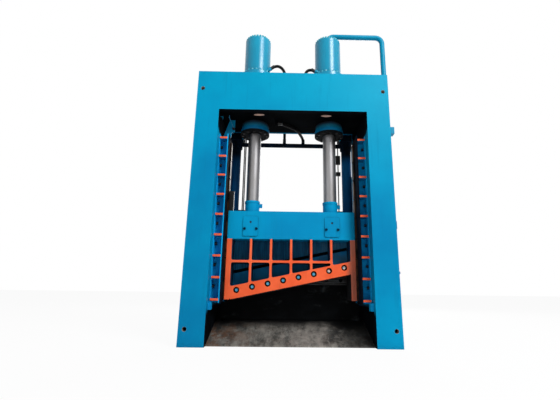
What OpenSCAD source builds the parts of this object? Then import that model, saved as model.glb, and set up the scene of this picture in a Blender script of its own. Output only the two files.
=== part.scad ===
// Gantry head of a horizontal hydraulic scrap shear.
// X runs across the machine, Y from the discharge side to the feed side, Z up.
// The origin lies on the floor, midway between the four anchor bolts and under the cylinder axes.
// The slide stands low in its guides, as photographed, and the hold-down rests just above the bed.

/* [Portal frame] */
// Width of the portal plates
portal_w = 3000; // [2960:10:3200]
// Height of the portal plates
portal_h = 4100; // [4060:10:4400]
// Thickness of the front portal plate
plate_t = 100; // [80:5:120]
// Thickness of the rear portal plate
rear_plate_t = 70; // [50:5:90]
// Distance from the front face to the cylinder axes
rod_setback = 570; // [540:5:600]
// Width of the window in the front plate
window_w = 2290; // [2250:10:2400]
// Height of the portal plates above their windows
header_h = 655; // [600:5:700]
// Width of the window in the rear plate
rear_window_w = 2150; // [2130:10:2180]
// Height of the rear plate's sill under the bed
sill_h = 300; // [250:10:340]
// Thickness of the column's inner plate
jamb_t = 40; // [30:5:60]
// Thickness of the column's outer wall
wall_t = 40; // [30:5:60]
// Thickness of the stiffening plates inside a column
diaphragm_t = 30; // [20:5:40]
// Diameter of the lifting holes
lifting_hole_d = 60; // [40:5:70]
// Distance of a lifting hole from the plate's side
lifting_hole_inset = 85; // [70:5:120]
// Distance of the upper lifting holes below the plate's top
lifting_hole_drop = 303; // [200:5:400]
// Height of the lower lifting holes
lifting_hole_rise = 226; // [150:5:300]
// Distance between the front and rear anchor bolts
anchor_pitch_y = 700; // [690:10:760]
// Diameter of the anchor bolt holes
anchor_hole_d = 48; // [36:2:60]
// Thickness of the sole plates
sole_t = 40; // [30:5:60]

/* [Crown] */
// Thickness of the crown's bottom plate
crown_bottom_t = 80; // [60:5:100]
// Thickness of the crown's top plate
crown_top_t = 80; // [60:5:100]
// Thickness of the webs inside the crown
crown_web_t = 40; // [30:5:60]
// Distance of a web from its cylinder axis
web_offset = 300; // [280:5:310]
// Height of the seat rings on the crown
seat_h = 140; // [120:5:160]

/* [Shear cylinders] */
// Distance between the two cylinder axes
cylinder_pitch = 1250; // [1220:10:1270]
// Outer diameter of a barrel
barrel_od = 450; // [440:5:460]
// Wall of a barrel
barrel_wall = 45; // [42:1:50]
// How far the base flange stands out all round
flange_out = 50; // [48:1:80]
// Thickness of the base flange
flange_t = 120; // [90:5:150]
// Length of barrel that shows below the crown
barrel_drop = 100; // [80:5:120]
// Diameter of a piston rod
rod_d = 210; // [200:5:220]
// Height of a piston
piston_h = 250; // [220:10:260]
// Travel of the slide above the photographed pose
stroke_up = 1050; // [900:10:1050]
// Travel of the slide below the photographed pose
stroke_down = 100; // [60:10:100]
// Thickness of an end cap
cap_t = 60; // [50:5:80]
// Bolts round an end cap
cap_bolts = 28; // [20:1:32]
// Bolts round a base flange
flange_bolts = 24; // [16:1:26]

/* [Blade slide] */
// Width of the slide between its guides
slide_w = 1940; // [1930:5:1960]
// Depth of the slide from front to rear
slide_depth = 380; // [370:5:390]
// Height of the slide's lower edge above the floor
slide_bottom = 600; // [590:5:640]
// Height of the blade holder grid
grid_h = 890; // [860:5:900]
// Height of the box beam
beam_h = 431; // [410:5:440]
// Width of the side posts
post_w = 75; // [60:5:90]
// Thickness of the upright ribs in the grid
grid_rib_t = 35; // [25:1:45]
// Distance between the upright ribs
grid_rib_pitch = 303.5; // [290:0.5:310]
// Height of the level rib's middle above the slide's lower edge
level_rib_rise = 554; // [554:1:580]
// Thickness of the level rib
level_rib_t = 34; // [24:1:40]
// Rake of the blade in degrees
rake = 12; // [11:0.5:12]
// Height of the raked bar
bar_h = 187; // [175:1:190]
// Depth of the pockets
pocket_depth = 300; // [240:5:310]
// Corner radius of the pockets
pocket_r = 26; // [10:1:30]
// Blade bolts in a row
blade_bolts = 8; // [6:1:8]
// Distance between the blade bolts
blade_bolt_pitch = 228; // [200:1:230]
// Height of the blade bolts above the raked bar's lower edge
blade_bolt_rise = 115; // [95:1:120]

/* [Guides] */
// Thickness of the guide plates
guide_plate_t = 25; // [15:1:30]
// Distance of the guides behind the front plate
guide_setback = 65; // [50:5:80]
// Depth of the bays between the ribs
bay_depth = 150; // [120:5:170]
// Height of the guides' lower end
guide_bottom = 560; // [520:5:560]
// Ribs on one guide
guide_rib_n = 9; // [8:1:9]
// Distance of the guides' upper end below the crown
guide_headroom = 335; // [330:5:400]
// Thickness of the guide ribs
guide_rib_t = 30; // [20:1:40]
// Thickness of the bronze wear strips
strip_t = 25; // [20:1:30]

/* [Bed and blades] */
// Height of the bed
bed_top = 975; // [960:5:1000]
// Play at each end of the lower blade inside the slide's width
lower_blade_inset = 5; // [0:1:20]
// Height of the lower blade
lower_blade_h = 150; // [130:5:170]
// Thickness of both blades
blade_t = 60; // [40:5:70]
// Height of the upper blade
upper_blade_h = 180; // [170:5:190]
// How far the upper blade stands below the raked bar
blade_reach = 15; // [5:1:25]
// Play between the two blades
shear_gap = 0.5; // [0.3:0.1:1]

/* [Hold-down] */
// Distance between the hold-down cylinder axes
hold_down_pitch = 1970; // [1960:2:1972]
// Distance of these axes behind the rear plate
hold_down_setback = 130; // [125:5:150]
// Outer diameter of a hold-down barrel
hold_down_od = 170; // [160:2:172]
// Bore of a hold-down barrel
hold_down_bore_d = 130; // [120:2:134]
// Diameter of a hold-down rod
hold_down_rod_d = 100; // [80:2:104]
// Distance that stays between the hold-down beam and its cylinders when it is up
hold_down_margin = 45; // [30:5:80]
// Height of the hold-down beam
hold_down_beam_h = 300; // [260:5:310]
// Thickness of the shoe under the beam
shoe_t = 40; // [30:5:50]
// Height of the shoe above the bed in the photographed pose
hold_down_rest = 20; // [20:1:30]
// Travel of the hold-down above that pose
hold_down_up = 600; // [500:10:600]
// Width of the rear plate beside the feed throat
throat_side = 125; // [115:5:140]
// Height of the feed throat
throat_h = 665; // [640:5:680]

/* [Oil pipes] */
// Outer diameter of the main oil pipe
oil_pipe_d = 89; // [76:1:102]
// Height of the pipe's level run above the end cap
oil_pipe_rise = 190; // [180:5:230]
// Distance of its upright run outside the frame
oil_pipe_out = 123; // [110:1:140]
// Bend radius of the pipe
oil_pipe_bend = 120; // [100:5:125]
// Height of the pipe's lower end
oil_pipe_end = 1000; // [900:10:1200]
// Diameter of the cross pipe between the hold-down cylinders
cross_pipe_d = 76; // [60:1:80]
// Diameter of the hoses
hose_d = 50; // [40:1:56]

/* [Fits] */
// Radial gap where a fixed piece passes through a hole
fit_gap = 0.3; // [0.2:0.05:0.4]
// Radial running clearance of rods and pistons
run_gap = 0.05; // [0.03:0.01:0.1]
// Gap between sliding faces
slide_gap = 0.3; // [0.2:0.05:0.3]

/* [Hidden] */

$fn = 64;
overrun = 5;

frame_blue = [0.05, 0.53, 0.70];
dark_blue = [0.04, 0.18, 0.30];
safety_orange = [1.0, 0.40, 0.22];
bare_steel = [0.55, 0.55, 0.56];
dark_steel = [0.16, 0.16, 0.17];
chrome = [0.80, 0.80, 0.82];
bronze = [0.55, 0.38, 0.22];
hose_black = [0.04, 0.04, 0.04];

// Places of the portal and its columns
front_y = -rod_setback;
column_y0 = front_y + plate_t;
window_h = portal_h - header_h;
slide_y = slide_depth / 2;
barrel_clearance = 5;
column_y1 = barrel_od / 2 + barrel_clearance;
rear_y = column_y1 + rear_plate_t;
half_portal = portal_w / 2;
jamb_x0 = window_w / 2;
jamb_x1 = jamb_x0 + jamb_t;
wall_x0 = half_portal - wall_t;
rear_window_x = rear_window_w / 2;
anchor_x = (jamb_x1 + wall_x0) / 2;
anchor_y = anchor_pitch_y / 2;
rear_sole_edge = 70;
diaphragm_shares = [0.25, 0.5, 0.75];
gusset_t = 20;
gusset_h = 200;

// Heights of the crown and the cylinders
crown_z1 = window_h + crown_bottom_t;
crown_z2 = portal_h - crown_top_t;
flange_z0 = portal_h + seat_h;
flange_z1 = flange_z0 + flange_t;
cylinder_x = cylinder_pitch / 2;
barrel_bore_d = barrel_od - 2 * barrel_wall;
flange_od = barrel_od + 2 * flange_out;
barrel_z0 = window_h - barrel_drop;
gland_lip_h = 83;
gland_lip_over = 30;
gland_lip_d = barrel_od + gland_lip_over;
gland_z0 = barrel_z0 - gland_lip_h;
gland_spigot_h = 135;
gland_z1 = barrel_z0 + gland_spigot_h;
seal_wall = 15;
seal_inset = 23;
piston_margin = 20;
piston_z0 = gland_z1 + stroke_down + piston_margin;
piston_z1 = piston_z0 + piston_h;
piston_bore_d = 160;
rod_nut_h = 60;
rod_nut_d = 230;
rod_top = piston_z1 + rod_nut_h;
barrel_z1 = rod_top + stroke_up + 1.5 * piston_margin;
cap_z1 = barrel_z1 + cap_t;
cap_spigot_h = 30;
cap_boss_d = 260;
cap_boss_h = 50;
port_d = 70;
wall_bolt_d = 20;
wall_bolt_af = 36;
wall_bolt_head_h = 34;
wall_bolt_l = 100;
wall_pcd = (barrel_od + barrel_bore_d) / 2;
flange_bolt_d = 24;
flange_bolt_af = 36;
flange_bolt_head_h = 30;
flange_pcd = (barrel_od + flange_od) / 2;
flange_bolt_l = flange_t + seat_h / 2;
gland_bolts_n = 12;
gland_bolt_head_h = 16;
gland_bolt_grip = 60;
gland_bolt_l = gland_lip_h + gland_bolt_grip;

// Places on the slide
slide_x = slide_w / 2;
beam_z0 = slide_bottom + grid_h;
beam_z1 = beam_z0 + beam_h;
post_x = slide_x - post_w;
level_rib_z = slide_bottom + level_rib_rise;
grid_y1 = -slide_y + pocket_depth;
lip_y1 = slide_y - blade_t;
wing_inset = 50;
wing_depth = 200;
wing_y0 = -slide_y + wing_inset;
wing_y1 = wing_y0 + wing_depth;
wing_clearance = 40;
wing_x1 = jamb_x0 - wing_clearance;
wing_drop = 6;
pin_drop = 174;
pin_z = beam_z1 - pin_drop;
pin_d = 140;
rod_foot = 110;
socket_half = 175;
beam_wall = 60;
beam_skin = 40;
groove_rise = 391;
groove_h = 26;
groove_depth = 40;
notch = 12;
small_pocket_r = 10;
counterbore_d = 88;
counterbore_depth = 70;
blade_bolt_d = 36;
blade_nut_af = 46;
blade_nut_h = 30;
blade_head_d = 60;
blade_head_h = 22;
sleeve_h = 189;
sleeve_wall = 11;
sleeve_ring_h = 34;
sleeve_ring_over = 34;
sleeve_ring_d = rod_d + sleeve_ring_over;
sleeve_lug_x = 160;
sleeve_lug_w = 60;
retainer_half_w = 117;
retainer_low = 217;
retainer_high = 95;
retainer_t = 12;
retainer_r = 30;
retainer_eye_d = 30;
retainer_bolt_d = 24;
retainer_bolt_af = 36;
retainer_bolt_head_h = 15;
retainer_bolt_l = 45;
retainer_bolt_x = 90;
retainer_bolt_drop = 102;
striker_w = 70;
striker_d = 40;
striker_h = 314;

// Places of the guides
guide_x0 = slide_x + strip_t;
guide_x1 = guide_x0 + guide_plate_t;
guide_y0 = column_y0 + guide_setback;
bay_y = guide_y0 + bay_depth;
strip_y1 = wing_y0 - slide_gap;
strip_y0 = strip_y1 - strip_t;
first_rib_rise = 45;
guide_over = 65;
guide_top = window_h - guide_headroom;
guide_rib_pitch = (guide_top - guide_over - guide_bottom - first_rib_rise) / (guide_rib_n - 1);
side_plate_t = 12;
side_plate_inset = 10;
guide_screw_d = 24;
guide_screw_af = 40;
guide_screw_head_h = 34;
guide_screw_drop = 125;
guide_screw_inset = 45;
guide_screw_y = bay_y - guide_screw_inset;
side_strip_depth = 90;
side_strip_gap = 15;
side_strip_len = guide_rib_pitch - side_strip_gap;
rear_bar_lap = 75;
rear_bar_x0 = wing_x1 - rear_bar_lap;
stop_w = 40;
stop_h = 107;
stop_block_drop = 90;

// Places of the bed, the chute and the hold-down
bed_y0 = slide_y + shear_gap;
house_depth = 400;
house_y1 = rear_y + house_depth;
house_t = 60;
house_drop = 626;
bed_wall = 80;
bed_cells = 4;
lower_blade_x = slide_x - lower_blade_inset;
lower_blade_z0 = bed_top - lower_blade_h;
lower_bolt_l = 90;
bolt_end_gap = 5;
chute_t = 25;
chute_bearer_t = 30;
chute_bearer_x = 800;
hold_down_x = hold_down_pitch / 2;
hold_down_y = rear_y + hold_down_setback;
hold_down_z0 = bed_top + hold_down_rest;
hold_down_beam_z0 = hold_down_z0 + shoe_t;
hold_down_beam_z1 = hold_down_beam_z0 + hold_down_beam_h;
hold_down_half_y = 120;
hold_down_socket_half = 120;
shelf_drop = 119;
shelf_t = 50;
shelf_z = window_h - shelf_drop;
house_h = shelf_z - house_drop;
shelf_half_w = 122;
shelf_back_t = 20;
shelf_depth = 260;
collar_d = 210;
collar_h = 132;
collar_pcd = 180;
collar_bolt_d = 16;
collar_bolt_af = 24;
collar_bolt_head_h = 10;
collar_bolts_n = 8;
hold_down_barrel_z0 = hold_down_beam_z1 + hold_down_up + hold_down_margin;
hold_down_gland_h = 70;
hold_down_lip_h = 20;
hold_down_head = 40;
hold_down_piston_h = 80;
hold_down_piston_rise = 40;
hold_down_piston_z0 = hold_down_barrel_z0 + hold_down_gland_h + hold_down_piston_rise;
hold_down_tail_d = 70;
hold_down_nut_h = 30;
hold_down_pin_d = 60;
hold_down_pin_z = hold_down_beam_z0 + hold_down_beam_h / 2;
hold_down_rod_foot = 70;
rail_t = 20;
rail_lip = 40;
rail_clearance = 20;
throat_lintel_h = 400;
throat_t = 60;
throat_w = rear_window_w - 2 * throat_side;
throat_hole_d = 33;
throat_hole_inset = 55;
throat_hole_rises = [75, 300, 525, 750];

// Places of the pipes and small fittings
oil_pipe_wall = 9;
oil_pipe_x = half_portal + oil_pipe_out;
oil_pipe_z = cap_z1 + oil_pipe_rise;
pipe_flange_d = 170;
pipe_flange_t = 30;
inlet_w = 100;
inlet_depth = 152;
inlet_t = 36;
inlet_pitch_x = 61.9;
inlet_pitch_y = 106.4;
inlet_hole_d = 17.5;
clamp_h = 119;
clamp_out = 230;
low_clamp_out = 174;
clamp_depth = 120;
clamp_drop = 120;
low_clamp_z = 1700;
feed_port_drop = 90;
feed_port_z = barrel_z1 - feed_port_drop;
feed_port_d = 130;
feed_port_l = 50;
feed_pipe_setback = 60;
feed_pipe_y = rear_y + feed_pipe_setback;
feed_pipe_rise = 100;
feed_pipe_z = portal_h + feed_pipe_rise;
hose_boss_d = 70;
hose_boss_l = 90;
port_block = 50;
port_block_h = 64;
cross_pipe_drop = 53;
cross_pipe_z = shelf_z - cross_pipe_drop;
pipe_boss_d = 60;
pipe_boss_h = 8;
service_setback = 60;
service_y = hold_down_y + service_setback;
service_pipe_d = 20;
service_x = 847;
service_pitch = 24;
service_block = 50;
service_edge = 14;
valve_half_w = 40;
service_over = 55;
service_top = window_h + service_over;
valve_drops = [234, 545];
valve_hs = [161, 65];
bracket_inset = 15;
bracket_y = bay_y + bracket_inset;
bracket_t = 12;
sensor_d = 30;
sensor_drop = 180;
sensor_gap = 6;
sensor_nut = 12;
sensor_tail = 50;
clip_w = 42;
clip_t = 12;
clip_h = 50;
cable_d = 12;

// Route with its heights counted from a level
function above(level, route) = [for (p = route) p + [0, 0, level]];

// Routes of the hoses and the cable, the first two above the crown's top and the others from its underside
left_loop = above(portal_h, [
    [-385, -100, 385], [-350, -100, 411], [-310, -100, 430], [-260, -100, 436], [-205, -100, 410],
    [-160, -100, 350], [-132, -100, 260], [-120, -100, 130], [-120, -100, 0]
]);
right_loop = above(portal_h, [
    [390, -100, 350], [350, -100, 370], [300, -100, 375], [255, -100, 355], [220, -100, 300],
    [200, -100, 220], [190, -100, 120], [190, -100, 0]
]);
straight_hose = above(window_h, [
    [-126, 430, -126], [-126, 430, -45], [-126, 426, 35], [-126, 400, 105], [-126, 355, 140],
    [-126, 325, 145], [-126, 300, 145]
]);
curved_hose = above(window_h, [
    [-235, -170, -37], [-200, -170, -37], [-130, -125, -37], [-36, -45, -37], [50, 30, -37],
    [110, 130, -37], [150, 250, -37], [185, 350, -43], [207, 412, -70], [211, 430, -100],
    [211, 430, -126]
]);
switch_route = above(window_h, [
    [-952, -302, -180], [-952, -335, -177], [-965, -352, -145], [-990, -358, -95], [-1010, -360, -45],
    [-1015, -360, 0]
]);

// Lower edge of the raked bar at a place across the slide
function bar_low(x) = slide_bottom + tan(rake) * (x + post_x);

// Points of the arc that rounds corner p between its neighbours a and b
function corner_arc(a, p, b, r, steps) =
    let (
        u = (a - p) / norm(a - p),
        v = (b - p) / norm(b - p),
        half = acos(u * v) / 2,
        c = p + (u + v) / norm(u + v) * r / sin(half),
        s = p + u * r / tan(half) - c,
        e = p + v * r / tan(half) - c,
        start = atan2(s[1], s[0]),
        turn = atan2(s[0] * e[1] - s[1] * e[0], s * e)
    )
    [for (i = [0:steps]) c + r * [cos(start + turn * i / steps), sin(start + turn * i / steps)]];

// Outline with every corner rounded
function rounded(points, r, steps = 4) =
    let (n = len(points))
    [for (i = [0:n - 1]) each corner_arc(points[(i + n - 1) % n], points[i], points[(i + 1) % n], r, steps)];

// Direction of a route at point i
function heading(route, i) =
    let (
        a = route[max(i - 1, 0)],
        b = route[min(i + 1, len(route) - 1)]
    )
    (b - a) / norm(b - a);

// A direction square to d, kept as level as possible
function level_side(d) =
    let (s = abs(d[2]) > 0.99 ? [1, 0, 0] : cross(d, [0, 0, 1]))
    s / norm(s);

module block(x0, x1, y0, y1, z0, z1) {
    translate([x0, y0, z0]) cube([x1 - x0, y1 - y0, z1 - z0]);
}

module bar_x(x0, x1, y, z, d) {
    translate([x0, y, z]) rotate([0, 90, 0]) cylinder(d = d, h = x1 - x0);
}

module bar_y(x, y0, y1, z, d) {
    translate([x, y0, z]) rotate([-90, 0, 0]) cylinder(d = d, h = y1 - y0);
}

module bar_z(x, y, z0, z1, d) {
    translate([x, y, z0]) cylinder(d = d, h = z1 - z0);
}

// Extrudes an outline drawn in X and Z from y0 to y1
module plate_y(y0, y1) {
    translate([0, y1, 0]) rotate([90, 0, 0]) linear_extrude(y1 - y0) children();
}

// Extrudes an outline drawn in Y and Z from x0 to x1
module plate_x(x0, x1) {
    translate([x0, 0, 0]) rotate([90, 0, 90]) linear_extrude(x1 - x0) children();
}

module both_sides() {
    children();
    mirror([1, 0, 0]) children();
}

module on_cylinders() {
    for (side = [-1, 1]) translate([side * cylinder_x, 0, 0]) children();
}

module on_hold_downs() {
    for (side = [-1, 1]) translate([side * hold_down_x, hold_down_y, 0]) children();
}

module ring(n, pcd) {
    for (i = [0:n - 1]) rotate(i * 360 / n) translate([pcd / 2, 0, 0]) children();
}

module tube(od, id, z0, z1) {
    difference() {
        translate([0, 0, z0]) cylinder(d = od, h = z1 - z0);
        translate([0, 0, z0 - overrun]) cylinder(d = id, h = z1 - z0 + 2 * overrun);
    }
}

// Hexagon bolt with its head standing on z = 0
module bolt(d, l, af, head_h) {
    cylinder(d = af / cos(30), h = head_h, $fn = 6);
    translate([0, 0, -l]) cylinder(d = d, h = l);
}

// Straight round piece between two points
module between(p, q, d) {
    v = q - p;
    translate(p) rotate([0, acos(v[2] / norm(v)), atan2(v[1], v[0])]) cylinder(d = d, h = norm(v));
}

// Pipe along straight runs with ball corners
module pipe_run(points, d) {
    for (i = [0:len(points) - 2]) between(points[i], points[i + 1], d);
    for (i = [1:len(points) - 2]) translate(points[i]) sphere(d = d);
}

// Hose swept along a route
module sweep(route, d, sides = 10) {
    n = len(route);
    rings = [
        for (i = [0:n - 1])
            let (
                t = heading(route, i),
                u = level_side(t),
                v = cross(t, u)
            )
            for (k = [0:sides - 1])
                route[i] + d / 2 * (u * cos(360 * k / sides) + v * sin(360 * k / sides))
    ];
    walls = [
        for (i = [0:n - 2], k = [0:sides - 1])
            let (
                a = i * sides + k,
                b = i * sides + (k + 1) % sides
            )
            each [[a, b, b + sides], [a, b + sides, a + sides]]
    ];
    first = [for (k = [0:sides - 1]) sides - 1 - k];
    last = [for (k = [0:sides - 1]) (n - 1) * sides + k];
    polyhedron(points = rings, faces = concat(walls, [first], [last]));
}

// Thick plate with the tall window, open at the floor, and four lifting holes
module front_portal_plate() {
    color(frame_blue) difference() {
        block(-half_portal, half_portal, front_y, column_y0, 0, portal_h);
        block(-jamb_x0, jamb_x0, front_y - overrun, column_y0 + overrun, -overrun, window_h);
        both_sides() for (z = [lifting_hole_rise, portal_h - lifting_hole_drop])
            bar_y(half_portal - lifting_hole_inset, front_y - overrun, column_y0 + overrun, z, lifting_hole_d);
    }
}

// Rear plate, with its window closed below by the sill
module rear_portal_plate() {
    color(frame_blue) difference() {
        block(-half_portal, half_portal, column_y1, rear_y, 0, portal_h);
        block(-rear_window_x, rear_window_x, column_y1 - overrun, rear_y + overrun, sill_h, window_h);
    }
}

// Box column on the right: inner plate, outer wall and three stiffening plates
module column() {
    color(frame_blue) difference() {
        union() {
            block(jamb_x0, jamb_x1, column_y0, column_y1, 0, window_h);
            block(wall_x0, half_portal, column_y0, column_y1, 0, portal_h);
            for (share = diaphragm_shares)
                translate([0, 0, share * window_h])
                    block(jamb_x1 - overrun, wall_x0 + overrun, column_y0, column_y1, 0, diaphragm_t);
        }
        guide_screw_places() rotate([0, 90, 0])
            cylinder(d = guide_screw_d + 2 * fit_gap, h = side_plate_t + jamb_t + overrun);
    }
}

module left_column() {
    mirror([1, 0, 0]) column();
}

module right_column() {
    column();
}

// Box beam over the slide, with bored seats for the two barrels
module crown() {
    color(frame_blue) difference() {
        union() {
            block(-wall_x0, wall_x0, column_y0, column_y1, window_h, crown_z1);
            block(-wall_x0, wall_x0, column_y0, column_y1, crown_z2, portal_h);
            both_sides() for (x = [cylinder_x - web_offset, cylinder_x + web_offset])
                block(x - crown_web_t / 2, x + crown_web_t / 2, column_y0, column_y1,
                    crown_z1 - overrun, crown_z2 + overrun);
            on_cylinders() bar_z(0, 0, portal_h, flange_z0, flange_od);
            translate(curved_hose[0])
                block(-port_block, 0, -port_block / 2, port_block / 2, -port_block / 2, port_block_h);
        }
        on_cylinders() {
            bar_z(0, 0, window_h - overrun, flange_z0 + overrun, barrel_od + 2 * fit_gap);
            ring(flange_bolts, flange_pcd)
                bar_z(0, 0, flange_z1 - flange_bolt_l - fit_gap, flange_z0 + overrun, flange_bolt_d + 2 * fit_gap);
        }
    }
}

// Sole plates: one inside each column and one behind it, with gussets to the rear plate
module foot_plates() {
    color(frame_blue) both_sides() {
        difference() {
            block(jamb_x1, wall_x0, column_y0, column_y1, 0, sole_t);
            bar_z(anchor_x, -anchor_y, -overrun, sole_t + overrun, anchor_hole_d);
        }
        difference() {
            block(jamb_x1, wall_x0, rear_y, anchor_y + rear_sole_edge, 0, sole_t);
            bar_z(anchor_x, anchor_y, -overrun, sole_t + overrun, anchor_hole_d);
        }
        for (x = [jamb_x1, wall_x0 - gusset_t])
            plate_x(x, x + gusset_t) polygon([
                [rear_y, sole_t],
                [anchor_y + rear_sole_edge, sole_t],
                [rear_y, sole_t + gusset_h]
            ]);
    }
}

// Places of the lower blade's bolts and of the upper blade's bolts
module lower_bolt_places() {
    for (i = [0:blade_bolts - 1])
        translate([(i - (blade_bolts - 1) / 2) * blade_bolt_pitch, 0, lower_blade_z0 + lower_blade_h / 2])
            children();
}

module upper_bolt_places() {
    for (i = [0:blade_bolts - 1]) {
        x = (i - (blade_bolts - 1) / 2) * blade_bolt_pitch;
        translate([x, 0, bar_low(x) + blade_bolt_rise]) children();
    }
}

// Heavy cross beam under the lower blade, ribbed inside and open below
module lower_knife_beam() {
    cell_w = (2 * rear_window_x - (bed_cells + 1) * bed_wall) / bed_cells;
    color(dark_steel) difference() {
        block(-rear_window_x, rear_window_x, bed_y0, house_y1, sill_h, bed_top);
        block(-lower_blade_x, lower_blade_x, bed_y0 - overrun, bed_y0 + blade_t,
            lower_blade_z0, bed_top + overrun);
        for (i = [0:bed_cells - 1])
            translate([-rear_window_x + bed_wall + i * (cell_w + bed_wall), 0, 0])
                block(0, cell_w, rear_y + bed_wall, house_y1 - bed_wall, sill_h - overrun, bed_top - bed_wall);
        lower_bolt_places()
            bar_y(0, bed_y0, bed_y0 + blade_t + lower_bolt_l, 0, blade_bolt_d + 2 * fit_gap);
    }
}

module lower_blade() {
    color(bare_steel) difference() {
        block(-lower_blade_x, lower_blade_x, bed_y0, bed_y0 + blade_t, lower_blade_z0, bed_top);
        lower_bolt_places() {
            bar_y(0, bed_y0 - overrun, bed_y0 + blade_t + overrun, 0, blade_bolt_d + 2 * fit_gap);
            translate([0, bed_y0, 0]) rotate([-90, 0, 0])
                cylinder(d1 = blade_head_d + 4 * fit_gap, d2 = blade_bolt_d, h = blade_head_h + fit_gap);
        }
    }
}

module lower_blade_bolts() {
    color(dark_steel) lower_bolt_places() {
        translate([0, bed_y0, 0]) rotate([-90, 0, 0])
            cylinder(d1 = blade_head_d, d2 = blade_bolt_d, h = blade_head_h);
        bar_y(0, bed_y0 + blade_head_h, bed_y0 + blade_t + lower_bolt_l - bolt_end_gap, 0, blade_bolt_d);
    }
}

// Sloping discharge plate on three bearers
module discharge_chute() {
    color(dark_steel) {
        plate_x(-jamb_x0, jamb_x0) polygon([
            [column_y0, 0],
            [column_y1, sill_h - chute_t],
            [column_y1, sill_h],
            [column_y0, chute_t]
        ]);
        for (x = [-chute_bearer_x, 0, chute_bearer_x])
            plate_x(x - chute_bearer_t / 2, x + chute_bearer_t / 2) polygon([
                [column_y0, 0],
                [column_y1, 0],
                [column_y1, sill_h - chute_t / 2],
                [column_y0, chute_t / 2]
            ]);
    }
}

module hold_down_side_frames() {
    color(frame_blue) both_sides()
        block(rear_window_x, rear_window_x + house_t, rear_y, house_y1, 0, house_h);
}

// Rear plate of the housing, with the throat and the bolt holes for a feed box
module feed_throat_plate() {
    color(frame_blue) difference() {
        block(-rear_window_x, rear_window_x, house_y1 - throat_t, house_y1,
            bed_top, bed_top + throat_h + throat_lintel_h);
        block(-throat_w / 2, throat_w / 2, house_y1 - throat_t - overrun, house_y1 + overrun,
            bed_top - overrun, bed_top + throat_h);
        both_sides() for (rise = throat_hole_rises)
            bar_y(rear_window_x - throat_hole_inset, house_y1 - throat_t - overrun, house_y1 + overrun,
                bed_top + rise, throat_hole_d);
    }
}

// Channel rails that take the ends of the hold-down beam
module hold_down_rails() {
    y0 = hold_down_y - hold_down_half_y - slide_gap;
    y1 = hold_down_y + hold_down_half_y + slide_gap;
    x0 = rear_window_x - rail_t - rail_lip;
    color(bare_steel) both_sides() difference() {
        block(x0, rear_window_x, rear_y, y1 + hold_down_setback - hold_down_half_y, bed_top,
            hold_down_barrel_z0 - rail_clearance);
        block(x0 - overrun, rear_window_x - rail_t, y0, y1, bed_top - overrun,
            hold_down_barrel_z0 - rail_clearance + overrun);
    }
}

// Places of the screws that hold a guide to its column
module guide_screw_places() {
    for (i = [1:guide_rib_n - 1])
        translate([
            jamb_x0 - side_plate_t,
            guide_screw_y,
            guide_bottom + first_rib_rise + i * guide_rib_pitch - guide_screw_drop
        ]) children();
}

// Right guide: guide plate, bay block, side plate on the column and stop block below
module guide() {
    color(frame_blue) difference() {
        union() {
            block(guide_x0, guide_x1, guide_y0, strip_y1, guide_bottom, guide_top);
            block(guide_x1 - overrun, jamb_x0, bay_y, strip_y0, guide_bottom, guide_top);
            block(jamb_x0 - side_plate_t, jamb_x0, guide_y0 + side_plate_inset, bay_y + overrun,
                guide_bottom, guide_top);
            block(jamb_x0 - stop_w, jamb_x0, column_y0, guide_y0 + stop_w, guide_bottom - stop_block_drop,
                guide_bottom - stop_block_drop + stop_h);
        }
        guide_screw_places() rotate([0, 90, 0])
            translate([0, 0, -overrun]) cylinder(d = guide_screw_d + 2 * fit_gap, h = jamb_t);
    }
}

module left_guide() {
    mirror([1, 0, 0]) guide();
}

module right_guide() {
    guide();
}

module guide_ribs() {
    color(safety_orange) both_sides() for (i = [0:guide_rib_n - 1])
        translate([0, 0, guide_bottom + first_rib_rise + i * guide_rib_pitch])
            block(guide_x1, jamb_x0 - side_plate_t, guide_y0, bay_y, -guide_rib_t / 2, guide_rib_t / 2);
}

module guide_screws() {
    color(dark_steel) both_sides() guide_screw_places() rotate([0, -90, 0])
        bolt(guide_screw_d, side_plate_t + jamb_t, guide_screw_af, guide_screw_head_h);
}

// Strips before and behind the slide's wings
module guide_wear_strips() {
    color(bronze) both_sides() {
        block(guide_x1, wing_x1, strip_y0, strip_y1, guide_bottom, guide_top);
        block(rear_bar_x0, wing_x1, wing_y1 + slide_gap, wing_y1 + slide_gap + strip_t, guide_bottom, guide_top);
    }
}

// Short strips beside the slide, one to each bay
module side_wear_strips() {
    color(bronze) both_sides() for (i = [0:guide_rib_n - 2])
        translate([0, 0, guide_bottom + first_rib_rise + i * guide_rib_pitch])
            block(slide_x + slide_gap, guide_x0, strip_y1 - side_strip_depth, strip_y1, 0, side_strip_len);
}

// Bars behind the rear strips, stepped round the ends of the knife beam
module rear_guide_bars() {
    color(frame_blue) both_sides() {
        block(rear_bar_x0, jamb_x0, wing_y1 + slide_gap + strip_t, slide_y, guide_bottom, guide_top);
        block(rear_window_x, jamb_x0, slide_y - overrun, column_y1, guide_bottom, guide_top);
    }
}

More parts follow.
